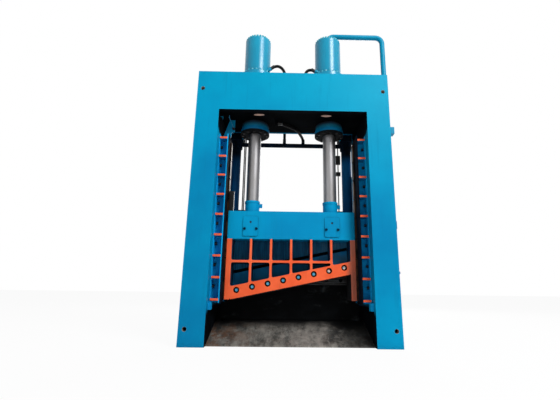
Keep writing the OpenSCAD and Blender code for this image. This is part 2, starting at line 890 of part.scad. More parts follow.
// Barrel with its base flange and the boss that its hose starts from; side is -1 on the left
module barrel(side, hose) {
    color(frame_blue) difference() {
        union() {
            rotate_extrude() polygon([
                [barrel_bore_d / 2, barrel_z0],
                [barrel_od / 2, barrel_z0],
                [barrel_od / 2, flange_z0],
                [flange_od / 2, flange_z0],
                [flange_od / 2, flange_z1],
                [barrel_od / 2, flange_z1],
                [barrel_od / 2, barrel_z1],
                [barrel_bore_d / 2, barrel_z1]
            ]);
            difference() {
                union() {
                    translate([-side * cylinder_x, 0, 0])
                        between(hose[0] - hose_boss_l * heading(hose, 0), hose[0] - fit_gap * heading(hose, 0),
                            hose_boss_d);
                    if (side < 0) bar_y(0, 0, barrel_od / 2 + feed_port_l, feed_port_z, feed_port_d);
                }
                bar_z(0, 0, flange_z1, barrel_z1, barrel_od - overrun);
            }
        }
        ring(flange_bolts, flange_pcd)
            bar_z(0, 0, flange_z0 - overrun, flange_z1 + overrun, flange_bolt_d + 2 * fit_gap);
        ring(cap_bolts, wall_pcd)
            bar_z(0, 0, cap_z1 - wall_bolt_l - overrun, barrel_z1 + overrun, wall_bolt_d + 2 * fit_gap);
        ring(gland_bolts_n, wall_pcd)
            bar_z(0, 0, barrel_z0 - overrun, barrel_z0 + wall_bolt_l, wall_bolt_d + 2 * fit_gap);
        if (side < 0) bar_y(0, 0, barrel_od, feed_port_z, port_d);
    }
}

module left_cylinder_barrel() {
    translate([-cylinder_x, 0, 0]) barrel(-1, left_loop);
}

module right_cylinder_barrel() {
    translate([cylinder_x, 0, 0]) barrel(1, right_loop);
}

// End caps with a spigot below and a boss above; only the right one is bored for the oil pipe
module cylinder_end_caps() {
    color(frame_blue) for (side = [-1, 1]) translate([side * cylinder_x, 0, 0]) difference() {
        union() {
            bar_z(0, 0, barrel_z1, cap_z1, barrel_od);
            bar_z(0, 0, barrel_z1 - cap_spigot_h, barrel_z1 + overrun, barrel_bore_d - 2 * fit_gap);
            bar_z(0, 0, cap_z1 - overrun, cap_z1 + cap_boss_h, cap_boss_d);
        }
        if (side > 0) bar_z(0, 0, barrel_z1 - cap_spigot_h - overrun, cap_z1 + cap_boss_h + overrun, port_d);
        ring(cap_bolts, wall_pcd)
            bar_z(0, 0, barrel_z1 - overrun, cap_z1 + overrun, wall_bolt_d + 2 * fit_gap);
    }
}

module end_cap_bolts() {
    color(frame_blue) on_cylinders() ring(cap_bolts, wall_pcd)
        translate([0, 0, cap_z1]) bolt(wall_bolt_d, wall_bolt_l, wall_bolt_af, wall_bolt_head_h);
}

module cylinder_flange_bolts() {
    color(frame_blue) on_cylinders() ring(flange_bolts, flange_pcd)
        translate([0, 0, flange_z1]) bolt(flange_bolt_d, flange_bolt_l, flange_bolt_af, flange_bolt_head_h);
}

// Stepped glands bolted under the barrels
module rod_glands() {
    color(frame_blue) on_cylinders() difference() {
        union() {
            bar_z(0, 0, gland_z0, barrel_z0, gland_lip_d);
            bar_z(0, 0, barrel_z0 - overrun, gland_z1, barrel_bore_d - 2 * fit_gap);
        }
        bar_z(0, 0, gland_z0 - overrun, gland_z1 + overrun, rod_d + 2 * fit_gap);
        bar_z(0, 0, gland_z0 + seal_inset, gland_z1 + overrun, rod_d + 2 * seal_wall);
        ring(gland_bolts_n, wall_pcd)
            bar_z(0, 0, gland_z0 - overrun, barrel_z0 + overrun, wall_bolt_d + 2 * fit_gap);
    }
}

module gland_bolts() {
    color(dark_steel) on_cylinders() ring(gland_bolts_n, wall_pcd)
        translate([0, 0, gland_z0]) mirror([0, 0, 1])
            bolt(wall_bolt_d, gland_bolt_l, wall_bolt_af, gland_bolt_head_h);
}

module rod_seals() {
    color(bronze) on_cylinders()
        tube(rod_d + 2 * seal_wall, rod_d + 2 * run_gap, gland_z0 + seal_inset, gland_z1);
}

// Outline of the main pipe with a given diameter
module oil_pipe_run(d, over) {
    bar_z(cylinder_x, 0, cap_z1 + cap_boss_h - over, oil_pipe_z - oil_pipe_bend, d);
    translate([cylinder_x + oil_pipe_bend, 0, oil_pipe_z - oil_pipe_bend]) rotate([90, 0, 0]) rotate(90)
        rotate_extrude(angle = 90) translate([oil_pipe_bend, 0]) circle(d = d);
    bar_x(cylinder_x + oil_pipe_bend, oil_pipe_x - oil_pipe_bend, 0, oil_pipe_z, d);
    translate([oil_pipe_x - oil_pipe_bend, 0, oil_pipe_z - oil_pipe_bend]) rotate([90, 0, 0])
        rotate_extrude(angle = 90) translate([oil_pipe_bend, 0]) circle(d = d);
    bar_z(oil_pipe_x, 0, oil_pipe_end - over, oil_pipe_z - oil_pipe_bend, d);
}

// Main pipe from the right cap over the side and down, with a bolted end flange
module oil_pipe() {
    color(frame_blue) difference() {
        union() {
            oil_pipe_run(oil_pipe_d, 0);
            bar_z(cylinder_x, 0, cap_z1 + cap_boss_h, cap_z1 + cap_boss_h + pipe_flange_t, pipe_flange_d);
            block(oil_pipe_x - inlet_w / 2, oil_pipe_x + inlet_w / 2, -inlet_depth / 2, inlet_depth / 2,
                oil_pipe_end, oil_pipe_end + inlet_t);
        }
        oil_pipe_run(oil_pipe_d - 2 * oil_pipe_wall, overrun);
        for (x = [-inlet_pitch_x / 2, inlet_pitch_x / 2], y = [-inlet_pitch_y / 2, inlet_pitch_y / 2])
            bar_z(oil_pipe_x + x, y, oil_pipe_end - overrun, oil_pipe_end + inlet_t + overrun, inlet_hole_d);
    }
}

module oil_pipe_clamps() {
    color(frame_blue) for (place = [[low_clamp_out, low_clamp_z], [clamp_out, window_h - clamp_drop]]) difference() {
        z = place[1];
        block(half_portal, half_portal + place[0], -clamp_depth / 2, clamp_depth / 2, z, z + clamp_h);
        bar_z(oil_pipe_x, 0, z - overrun, z + clamp_h + overrun, oil_pipe_d + 2 * fit_gap);
    }
}

// Feed of the left cylinder, from its rear port to the main pipe
module left_feed_pipe() {
    port_y = barrel_od / 2 + feed_port_l;
    route = [
        [-cylinder_x, port_y, feed_port_z],
        [-cylinder_x, feed_pipe_y, feed_port_z],
        [-cylinder_x, feed_pipe_y, feed_pipe_z],
        [oil_pipe_x, feed_pipe_y, feed_pipe_z],
        [oil_pipe_x, oil_pipe_d / 2, feed_pipe_z]
    ];
    color(frame_blue) difference() {
        union() {
            pipe_run(route, oil_pipe_d);
            bar_y(-cylinder_x, port_y, port_y + pipe_flange_t, feed_port_z, pipe_flange_d);
            bar_y(oil_pipe_x, 0, oil_pipe_d, feed_pipe_z, oil_pipe_d + 4 * oil_pipe_wall);
        }
        bar_z(oil_pipe_x, 0, feed_pipe_z - oil_pipe_d, feed_pipe_z + oil_pipe_d, oil_pipe_d + 2 * fit_gap);
    }
}

// Bolt circle of a hold-down cylinder, turned so that no bolt stands beside a gusset
module collar_bolt_ring() {
    rotate(180 / collar_bolts_n) ring(collar_bolts_n, collar_pcd) children();
}

// Shelves behind the crown that carry the hold-down cylinders
module hold_down_brackets() {
    color(dark_blue) on_hold_downs() {
        y0 = -hold_down_setback;
        difference() {
            union() {
                block(-shelf_half_w, shelf_half_w, y0, y0 + shelf_depth, shelf_z, shelf_z + shelf_t);
                block(-shelf_half_w, shelf_half_w, y0, y0 + shelf_back_t, shelf_z, window_h + shelf_depth);
                for (x = [-shelf_half_w, shelf_half_w - gusset_t])
                    plate_x(x, x + gusset_t) polygon([
                        [y0, shelf_z],
                        [y0 + shelf_depth, shelf_z],
                        [y0 + shelf_depth, shelf_z + shelf_t],
                        [y0 + shelf_back_t, window_h + shelf_depth],
                        [y0, window_h + shelf_depth]
                    ]);
            }
            collar_bolt_ring() bar_z(0, 0, shelf_z - overrun, shelf_z + shelf_t + overrun, collar_bolt_d + 2 * fit_gap);
        }
    }
}

module hold_down_barrels() {
    color(dark_blue) on_hold_downs() difference() {
        union() {
            bar_z(0, 0, hold_down_barrel_z0, shelf_z, hold_down_od);
            bar_z(0, 0, shelf_z - collar_h, shelf_z, collar_d);
        }
        bar_z(0, 0, hold_down_barrel_z0 - overrun, shelf_z - hold_down_head, hold_down_bore_d);
        collar_bolt_ring() bar_z(0, 0, shelf_z - collar_h / 2, shelf_z + overrun, collar_bolt_d + 2 * fit_gap);
    }
}

module hold_down_flange_bolts() {
    color(dark_steel) on_hold_downs() collar_bolt_ring() translate([0, 0, shelf_z + shelf_t])
        bolt(collar_bolt_d, shelf_t + collar_h / 3, collar_bolt_af, collar_bolt_head_h);
}

module hold_down_glands() {
    color(dark_steel) on_hold_downs() difference() {
        union() {
            bar_z(0, 0, hold_down_barrel_z0 - hold_down_lip_h, hold_down_barrel_z0, hold_down_od);
            bar_z(0, 0, hold_down_barrel_z0 - overrun, hold_down_barrel_z0 + hold_down_gland_h,
                hold_down_bore_d - 2 * fit_gap);
        }
        bar_z(0, 0, hold_down_barrel_z0 - hold_down_lip_h - overrun,
            hold_down_barrel_z0 + hold_down_gland_h + overrun, hold_down_rod_d + 2 * run_gap);
    }
}

module hold_down_cross_pipe() {
    color(dark_blue) difference() {
        union() {
            bar_x(-hold_down_x, hold_down_x, hold_down_y, cross_pipe_z, cross_pipe_d);
            for (p = [straight_hose[0], curved_hose[len(curved_hose) - 1]])
                bar_z(p[0], p[1], cross_pipe_z, cross_pipe_z + cross_pipe_d / 2 + pipe_boss_h, pipe_boss_d);
        }
        on_hold_downs() bar_z(0, 0, shelf_z - collar_h - overrun, shelf_z, collar_d + 2 * fit_gap);
    }
}

module hold_down_hoses() {
    color(hose_black) {
        sweep(straight_hose, hose_d);
        sweep(curved_hose, hose_d);
    }
}

module rod_side_hoses() {
    color(hose_black) {
        sweep(left_loop, hose_d);
        sweep(right_loop, hose_d);
    }
}

// Thin pipes beside the hold-down cylinders, with a port block at each end; the right one has valves
module service_pipes() {
    module blocks() {
        difference() {
            block(service_x - service_block, hold_down_x - hold_down_bore_d / 2, service_y - service_block / 2,
                service_y + service_block / 2, hold_down_barrel_z0 + service_block,
                hold_down_barrel_z0 + 2 * service_block);
            bar_z(hold_down_x, hold_down_y, hold_down_barrel_z0, shelf_z, hold_down_od + 2 * fit_gap);
        }
        block(service_x - service_block, service_x + service_edge, rear_y, service_y + service_block / 2,
            service_top - service_block / 2, service_top);
    }
    color(dark_steel) {
        mirror([1, 0, 0]) {
            blocks();
            for (x = [service_x - service_pitch, service_x])
                bar_z(x, service_y, hold_down_barrel_z0 + service_block, service_top, service_pipe_d);
        }
        blocks();
        bar_z(service_x, service_y, hold_down_barrel_z0 + service_block, service_top, service_pipe_d);
        for (i = [0:1])
            block(service_x - valve_half_w, service_x + valve_half_w,
                service_y - service_block / 2, service_y + service_block / 2,
                barrel_z0 - valve_drops[i] - valve_hs[i], barrel_z0 - valve_drops[i]);
    }
}

// Gusset that stands on the left guide and holds the limit switch, and a small clip on the column
module limit_switch_bracket() {
    switch_x = slide_x - striker_w / 4;
    switch_z = window_h - sensor_drop;
    reach = slide_x - striker_w / 2;
    color(frame_blue) mirror([1, 0, 0]) {
        difference() {
            plate_y(bracket_y, bracket_y + bracket_t) polygon([
                [guide_x1 + 2 * clip_h, guide_top],
                [guide_x0, guide_top],
                [slide_x, switch_z - clip_h],
                [reach, switch_z - clip_h],
                [reach, window_h - clip_h / 2],
                [guide_x1, window_h - clip_h / 2]
            ]);
            bar_y(switch_x, bracket_y - overrun, bracket_y + bracket_t + overrun, switch_z,
                sensor_d + 2 * fit_gap);
        }
        block(jamb_x0 - clip_w, jamb_x0, guide_y0, guide_y0 + clip_t, window_h - clip_h, window_h - clip_h + clip_t);
        block(jamb_x0 - clip_w, jamb_x0 - clip_w + clip_t, guide_y0, guide_y0 + clip_t,
            window_h - 2 * clip_h + clip_t, window_h - clip_h + clip_t);
    }
}

module limit_switch() {
    switch_x = slide_x - striker_w / 4;
    switch_z = window_h - sensor_drop;
    color(dark_steel) {
        bar_y(-switch_x, bracket_y - sensor_tail, -slide_y - sensor_gap, switch_z, sensor_d);
        bar_y(-switch_x, bracket_y - sensor_nut, bracket_y, switch_z, sensor_d + sensor_nut);
        bar_y(-switch_x, bracket_y + bracket_t, bracket_y + bracket_t + sensor_nut, switch_z,
            sensor_d + sensor_nut);
    }
}

module switch_cable() {
    color(hose_black) sweep(switch_route, cable_d, 8);
}

// Box beam with a bored socket for each rod, open at the rear between them
module slide_beam() {
    color(frame_blue) difference() {
        block(-slide_x, slide_x, -slide_y, slide_y, beam_z0, beam_z1);
        both_sides() {
            block(beam_skin / 2, cylinder_x - socket_half, -slide_y + beam_wall, slide_y + overrun,
                beam_z0 + beam_skin, beam_z1 - beam_skin);
            block(cylinder_x + socket_half, slide_x - beam_skin, -slide_y + beam_wall, slide_y + overrun,
                beam_z0 + beam_skin, beam_z1 - beam_skin);
            bar_z(cylinder_x, 0, pin_z - rod_foot, beam_z1 + overrun, rod_d + 2 * fit_gap);
            bar_y(cylinder_x, -slide_y - overrun, slide_y + overrun, pin_z, pin_d + 2 * fit_gap);
            retainer_bolt_places() rotate([-90, 0, 0])
                cylinder(d = retainer_bolt_d + 2 * fit_gap, h = retainer_bolt_l + overrun);
        }
    }
}

function column_left(i) = i == 0 ? -post_x : (i - 3) * grid_rib_pitch + grid_rib_t / 2;
function column_right(i) = i == 5 ? post_x : (i - 2) * grid_rib_pitch - grid_rib_t / 2;

// Pocket of the grid above the level rib, or the whole height in the last column
module high_pocket(i) {
    xl = column_left(i);
    xr = column_right(i);
    low = level_rib_z + level_rib_t / 2;
    polygon(rounded([
        [xl, i == 5 ? bar_low(xl) + bar_h : low],
        [xr, i == 5 ? bar_low(xr) + bar_h : low],
        [xr, beam_z0 + 2 * pocket_r],
        [xl, beam_z0 + 2 * pocket_r]
    ], pocket_r));
}

// Pocket between the raked bar and the level rib
module low_pocket(i) {
    xl = column_left(i);
    xr = column_right(i);
    high = level_rib_z - level_rib_t / 2;
    polygon(rounded([
        [xl, bar_low(xl) + bar_h],
        [xr, bar_low(xr) + bar_h],
        [xr, high],
        [xl, high]
    ], i == 4 ? small_pocket_r : pocket_r));
}

// Grid of posts, ribs and the raked bar, open below the bar
module slide_grid() {
    color(safety_orange) difference() {
        union() {
            plate_y(-slide_y, grid_y1) difference() {
                polygon([
                    [-slide_x, slide_bottom],
                    [-post_x, slide_bottom],
                    [post_x, bar_low(post_x)],
                    [post_x, slide_bottom],
                    [slide_x, slide_bottom],
                    [slide_x, beam_z0],
                    [-slide_x, beam_z0]
                ]);
                for (i = [0:5]) high_pocket(i);
                for (i = [0:4]) low_pocket(i);
                translate([-post_x, slide_bottom - notch]) square([notch, 2 * notch]);
            }
            both_sides() block(post_x, slide_x, grid_y1 - overrun, slide_y, slide_bottom, beam_z0);
        }
        upper_bolt_places() {
            bar_y(0, -slide_y - overrun, grid_y1 + overrun, 0, blade_bolt_d + 2 * fit_gap);
            bar_y(0, -slide_y - overrun, -slide_y + counterbore_depth, 0, counterbore_d);
        }
    }
}

// Plate behind the grid: thin behind the raked bar, thick above the blade, with a raked groove
module slide_back_plate() {
    seat = upper_blade_h - blade_reach + fit_gap;
    color(dark_blue) difference() {
        union() {
            plate_y(grid_y1, slide_y) polygon([
                [-post_x, bar_low(-post_x) + seat],
                [post_x, bar_low(post_x) + seat],
                [post_x, beam_z0],
                [-post_x, beam_z0]
            ]);
            plate_y(grid_y1, lip_y1) polygon([
                [-post_x, bar_low(-post_x)],
                [post_x, bar_low(post_x)],
                [post_x, bar_low(post_x) + bar_h],
                [-post_x, bar_low(-post_x) + bar_h]
            ]);
        }
        plate_y(grid_y1 - overrun, grid_y1 + groove_depth) polygon([
            [-post_x - overrun, bar_low(-post_x - overrun) + groove_rise],
            [post_x + overrun, bar_low(post_x + overrun) + groove_rise],
            [post_x + overrun, bar_low(post_x + overrun) + groove_rise + groove_h],
            [-post_x - overrun, bar_low(-post_x - overrun) + groove_rise + groove_h]
        ]);
        upper_bolt_places() bar_y(0, grid_y1 - overrun, slide_y + overrun, 0, blade_bolt_d + 2 * fit_gap);
    }
}

module slide_guide_wings() {
    color(dark_steel) both_sides()
        block(slide_x, wing_x1, wing_y0, wing_y1, slide_bottom, beam_z1 - wing_drop);
}

// Raked moving blade behind the bar
module upper_blade() {
    end = post_x - fit_gap;
    color(bare_steel) difference() {
        plate_y(lip_y1, slide_y) polygon([
            [-end, bar_low(-end) - blade_reach],
            [end, bar_low(end) - blade_reach],
            [end, bar_low(end) - blade_reach + upper_blade_h],
            [-end, bar_low(-end) - blade_reach + upper_blade_h]
        ]);
        upper_bolt_places() {
            bar_y(0, lip_y1 - overrun, slide_y + overrun, 0, blade_bolt_d + 2 * fit_gap);
            translate([0, slide_y, 0]) rotate([90, 0, 0])
                cylinder(d1 = blade_head_d + 4 * fit_gap, d2 = blade_bolt_d, h = blade_head_h + fit_gap);
        }
    }
}

// Bolts with their heads in the blade and their nuts in the counterbores
module upper_blade_bolts() {
    nut_y = -slide_y + counterbore_depth - blade_nut_h;
    color(frame_blue) upper_bolt_places() {
        translate([0, slide_y, 0]) rotate([90, 0, 0])
            cylinder(d1 = blade_head_d, d2 = blade_bolt_d, h = blade_head_h);
        bar_y(0, nut_y - blade_nut_h / 2, slide_y - blade_head_h, 0, blade_bolt_d);
        translate([0, nut_y, 0]) rotate([-90, 0, 0])
            cylinder(d = blade_nut_af / cos(30), h = blade_nut_h, $fn = 6);
    }
}

module piston_rods() {
    color(chrome) on_cylinders() difference() {
        union() {
            bar_z(0, 0, pin_z - rod_foot, piston_z0, rod_d);
            bar_z(0, 0, piston_z0 - overrun, rod_top, piston_bore_d);
        }
        bar_y(0, -rod_d, rod_d, pin_z, pin_d + 2 * fit_gap);
    }
}

// Pistons and the nuts that hold them on the rods
module pistons() {
    color(bare_steel) on_cylinders() {
        tube(barrel_bore_d - 2 * run_gap, piston_bore_d + 2 * fit_gap, piston_z0, piston_z1);
        tube(rod_nut_d, piston_bore_d + 2 * fit_gap, piston_z1 + fit_gap, rod_top);
    }
}

// Split collars on the beam that close the sockets, each with a clamp lug on the right
module rod_sleeves() {
    color(frame_blue) on_cylinders() difference() {
        union() {
            bar_z(0, 0, beam_z1, beam_z1 + sleeve_h, rod_d + 2 * sleeve_wall);
            bar_z(0, 0, beam_z1 + sleeve_h - sleeve_ring_h, beam_z1 + sleeve_h, sleeve_ring_d);
            block(0, sleeve_lug_x, -sleeve_ring_h / 2, sleeve_ring_h / 2, beam_z1 + sleeve_h / 2,
                beam_z1 + sleeve_h / 2 + sleeve_lug_w);
        }
        bar_z(0, 0, beam_z1 - overrun, beam_z1 + sleeve_h + overrun, rod_d + 2 * fit_gap);
    }
}

module rod_pins() {
    color(bare_steel) on_cylinders() bar_y(0, -slide_y, slide_y, pin_z, pin_d);
}

module retainer_bolt_places() {
    for (side = [-1, 1])
        translate([cylinder_x + side * retainer_bolt_x, -slide_y, pin_z - retainer_bolt_drop]) children();
}

// Keeper plates over the pins, with two bolts each
module pin_retainers() {
    color(frame_blue) both_sides() {
        difference() {
            plate_y(-slide_y - retainer_t, -slide_y) translate([cylinder_x, pin_z]) polygon(rounded([
                [-retainer_half_w, -retainer_low],
                [retainer_half_w, -retainer_low],
                [retainer_half_w, retainer_high],
                [-retainer_half_w, retainer_high]
            ], retainer_r));
            bar_y(cylinder_x, -slide_y - retainer_t - overrun, -slide_y + overrun, pin_z, retainer_eye_d);
            retainer_bolt_places() rotate([90, 0, 0]) translate([0, 0, -overrun])
                cylinder(d = retainer_bolt_d + 2 * fit_gap, h = retainer_t + 2 * overrun);
        }
        retainer_bolt_places() translate([0, -retainer_t - fit_gap, 0]) rotate([90, 0, 0])
            bolt(retainer_bolt_d, retainer_bolt_l, retainer_bolt_af, retainer_bolt_head_h);
    }
}

module striker() {
    color(dark_steel) block(-slide_x, -slide_x + striker_w, -slide_y, -slide_y + striker_d,
        beam_z1, beam_z1 + striker_h);
}

// Clamp beam, bored for its rods and pins, with rear pockets
module hold_down_beam() {
    half_x = rear_window_x - rail_t - slide_gap;
    cell_w = hold_down_x - hold_down_socket_half;
    color(dark_blue) difference() {
        block(-half_x, half_x, hold_down_y - hold_down_half_y, hold_down_y + hold_down_half_y,
            hold_down_beam_z0, hold_down_beam_z1);
        both_sides() {
            block(beam_skin, cell_w, hold_down_y - hold_down_half_y + beam_wall,
                hold_down_y + hold_down_half_y + overrun, hold_down_beam_z0 + beam_skin,
                hold_down_beam_z1 - beam_skin);
            bar_z(hold_down_x, hold_down_y, hold_down_pin_z - hold_down_rod_foot, hold_down_beam_z1 + overrun,
                hold_down_rod_d + 2 * fit_gap);
            bar_y(hold_down_x, hold_down_y - hold_down_half_y - overrun,
                hold_down_y + hold_down_half_y + overrun, hold_down_pin_z, hold_down_pin_d + 2 * fit_gap);
        }
    }
}

module hold_down_shoe() {
    color(bare_steel) block(-throat_w / 2, throat_w / 2, hold_down_y - hold_down_half_y,
        hold_down_y + hold_down_half_y, hold_down_z0, hold_down_beam_z0);
}

module hold_down_rods() {
    color(chrome) on_hold_downs() difference() {
        union() {
            bar_z(0, 0, hold_down_pin_z - hold_down_rod_foot, hold_down_piston_z0, hold_down_rod_d);
            bar_z(0, 0, hold_down_piston_z0 - overrun,
                hold_down_piston_z0 + hold_down_piston_h + hold_down_nut_h, hold_down_tail_d);
        }
        bar_y(0, -hold_down_rod_d, hold_down_rod_d, hold_down_pin_z, hold_down_pin_d + 2 * fit_gap);
    }
}

module hold_down_pistons() {
    color(bare_steel) on_hold_downs() {
        tube(hold_down_bore_d - 2 * run_gap, hold_down_tail_d + 2 * fit_gap, hold_down_piston_z0,
            hold_down_piston_z0 + hold_down_piston_h);
        tube(hold_down_rod_d, hold_down_tail_d + 2 * fit_gap,
            hold_down_piston_z0 + hold_down_piston_h + fit_gap,
            hold_down_piston_z0 + hold_down_piston_h + hold_down_nut_h);
    }
}

module hold_down_pins() {
    color(bare_steel) on_hold_downs()
        bar_y(0, -hold_down_half_y, hold_down_half_y, hold_down_pin_z, hold_down_pin_d);
}

front_portal_plate();
rear_portal_plate();
left_column();
right_column();
crown();
foot_plates();
lower_knife_beam();
lower_blade();
lower_blade_bolts();
discharge_chute();
hold_down_side_frames();
feed_throat_plate();
hold_down_rails();
left_guide();
right_guide();
guide_ribs();
guide_screws();
guide_wear_strips();
side_wear_strips();
rear_guide_bars();
left_cylinder_barrel();
right_cylinder_barrel();
cylinder_end_caps();
end_cap_bolts();
cylinder_flange_bolts();
rod_glands();
gland_bolts();
rod_seals();
oil_pipe();
oil_pipe_clamps();
left_feed_pipe();
hold_down_brackets();
hold_down_barrels();
hold_down_flange_bolts();
hold_down_glands();
hold_down_cross_pipe();
hold_down_hoses();
rod_side_hoses();
service_pipes();
limit_switch_bracket();
limit_switch();
switch_cable();
slide_beam();
slide_grid();
slide_back_plate();
slide_guide_wings();
upper_blade();
upper_blade_bolts();
piston_rods();
pistons();
rod_sleeves();
rod_pins();
pin_retainers();
striker();
hold_down_beam();
hold_down_shoe();
hold_down_rods();
hold_down_pistons();
hold_down_pins();
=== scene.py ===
import math

import bpy
from mathutils import Matrix, Vector


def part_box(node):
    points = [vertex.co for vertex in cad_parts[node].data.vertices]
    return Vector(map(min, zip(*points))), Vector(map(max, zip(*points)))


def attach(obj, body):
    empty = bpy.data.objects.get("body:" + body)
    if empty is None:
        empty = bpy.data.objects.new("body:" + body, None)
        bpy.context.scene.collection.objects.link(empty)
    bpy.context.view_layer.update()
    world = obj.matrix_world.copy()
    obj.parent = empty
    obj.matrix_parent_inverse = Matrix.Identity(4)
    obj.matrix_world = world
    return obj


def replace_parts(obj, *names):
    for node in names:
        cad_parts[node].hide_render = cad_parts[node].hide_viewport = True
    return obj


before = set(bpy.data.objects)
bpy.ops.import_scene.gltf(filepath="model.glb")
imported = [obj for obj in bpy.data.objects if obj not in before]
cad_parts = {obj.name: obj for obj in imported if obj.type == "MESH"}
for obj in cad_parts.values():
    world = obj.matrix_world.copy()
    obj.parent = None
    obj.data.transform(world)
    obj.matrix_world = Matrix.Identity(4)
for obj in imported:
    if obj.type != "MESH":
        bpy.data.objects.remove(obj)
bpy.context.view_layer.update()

# Camera: it stands about 5 m before the front plate, 0.76 m above the floor, and looks up by 14 degrees,
# with the short lens that makes the portal taper toward its top.
FRAME_W = 560
FOCAL_PIXELS = 355.0
AXIS_PIXEL = 288.81
camera_place = Vector((-0.128, -5.567, 0.760))
yaw, pitch, roll = (math.radians(a) for a in (0.893, 14.054, 0.697))
ahead = Vector((math.sin(yaw) * math.cos(pitch), math.cos(yaw) * math.cos(pitch), math.sin(pitch)))
level = Vector((math.cos(yaw), -math.sin(yaw), 0.0))
upright = level.cross(ahead)
right = level * math.cos(roll) + upright * math.sin(roll)
up = upright * math.cos(roll) - level * math.sin(roll)
lens = bpy.data.cameras.new("camera")
lens.sensor_width = 36.0
lens.lens = FOCAL_PIXELS * lens.sensor_width / FRAME_W
lens.shift_x = (FRAME_W / 2 - AXIS_PIXEL) / FRAME_W
camera = bpy.data.objects.new("camera", lens)
turn = Matrix((right, up, -ahead)).transposed().to_4x4()
camera.matrix_world = Matrix.Translation(camera_place) @ turn
bpy.context.scene.collection.objects.link(camera)
bpy.context.scene.camera = camera
bpy.context.scene.view_settings.view_transform = "Standard"


# Rod side hoses: two rubber hoses that rise from a boss on each shear cylinder and loop down to the
# crown. They are wire-braided, so they keep their arch, and end in crimped steel fittings.
class Wire:
    """One output of a node; a sum on it adds a Math node."""

    def __init__(self, finish, socket):
        self.finish, self.socket = finish, socket

    def math(self, operation, *values):
        return self.finish.node("Math", {"operation": operation}, dict(enumerate(values)))

    def __add__(self, other):
        return self.math("ADD", self, other)

    def __sub__(self, other):
        return self.math("SUBTRACT", self, other)

    def __mul__(self, other):
        return self.math("MULTIPLY", self, other)

    def __rsub__(self, other):
        return self.math("SUBTRACT", other, self)

    __radd__ = __add__
    __rmul__ = __mul__

    def rise(self, low, high):
        """0 below low, 1 above high, and smooth between them."""
        settings = {"interpolation_type": "SMOOTHSTEP"}
        return self.finish.node("MapRange", settings, {0: self, 1: low, 2: high})


def linear(red, green, blue):
    """Colour of a painted surface, given as the numbers that a screen shows."""
    shares = [v / 255 for v in (red, green, blue)]
    return tuple(v / 12.92 if v <= 0.04045 else ((v + 0.055) / 1.055) ** 2.4 for v in shares) + (1.0,)


class Finish:
    """A surface finish: its nodes come from node(), and its sockets are set by name."""

    def __init__(self, name, **sockets):
        self.material = bpy.data.materials.new(name)
        self.material.use_nodes = True
        self.tree = self.material.node_tree
        self.shader = self.tree.nodes["Principled BSDF"]
        self.place = self.node("TexCoord", {}, {}, "Object")
        self.set(**sockets)

    def node(self, kind, settings, inputs, out=0):
        made = self.tree.nodes.new("ShaderNode" + kind)
        for name, value in settings.items():
            setattr(made, name, value)
        for key, value in inputs.items():
            if isinstance(value, Wire):
                self.tree.links.new(value.socket, made.inputs[key])
            else:
                made.inputs[key].default_value = value
        return Wire(self, made.outputs[out])

    def set(self, **sockets):
        for name, value in sockets.items():
            socket = self.shader.inputs[name.replace("_", " ")]
            if isinstance(value, Wire):
                self.tree.links.new(value.socket, socket)
            else:
                socket.default_value = value

    def mix(self, mask, low, high):
        """Colour that is low where the mask is 0 and high where it is 1."""
        return self.node("Mix", {"data_type": "RGBA"}, {0: mask, 6: low, 7: high}, 2)

    def noise(self, scale, detail=3.0, stretch=(1.0, 1.0, 1.0), rough=0.55):
        """Noise of that many cells a metre, stretched along the axes."""
        at = self.node("VectorMath", {"operation": "MULTIPLY"}, {0: self.place, 1: stretch})
        sockets = {"Vector": at, "Scale": scale, "Detail": detail, "Roughness": rough}
        return self.node("TexNoise", {}, sockets)

    def part(self, axis):
        """Place along one axis of the machine, in metres."""
        return self.node("SeparateXYZ", {}, {0: self.place}, axis)

    def off_middle(self):
        """Distance to either side of the machine's middle, in metres."""
        across = self.part(0)
        return across.math("ABSOLUTE", across)

    def facing(self, x, y, z):
        """1 where the surface faces that way, and 0 where it faces across or back."""
        normal = self.node("NewGeometry", {}, {}, "True Normal")
        dot = self.node("VectorMath", {"operation": "DOT_PRODUCT"}, {0: normal, 1: (x, y, z)}, "Value")
        return dot.rise(0.6, 0.8)

    def edges(self, radius):
        """1 within about that distance of a sharp edge."""
        normal = self.node("NewGeometry", {}, {}, "Normal")
        soft = self.node("Bevel", {"samples": 4}, {"Radius": radius})
        dot = self.node("VectorMath", {"operation": "DOT_PRODUCT"}, {0: normal, 1: soft}, "Value")
        return (1.0 - dot).rise(0.01, 0.16)

    def corners(self, distance):
        """1 deep in a corner or recess, where the coat takes painted shade and dirt."""
        open_sky = self.node("AmbientOcclusion", {"samples": 4}, {"Distance": distance}, "AO")
        return 1.0 - open_sky.rise(0.35, 0.9)

    def bump(self, height, strength, distance):
        normal = self.node("Bump", {}, {"Strength": strength, "Distance": distance, "Height": height})
        self.set(Normal=normal)

    def cover(self, *names):
        """Gives this finish to nodes of the frame."""
        for name in names:
            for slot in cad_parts[name].material_slots:
                slot.material = self.material


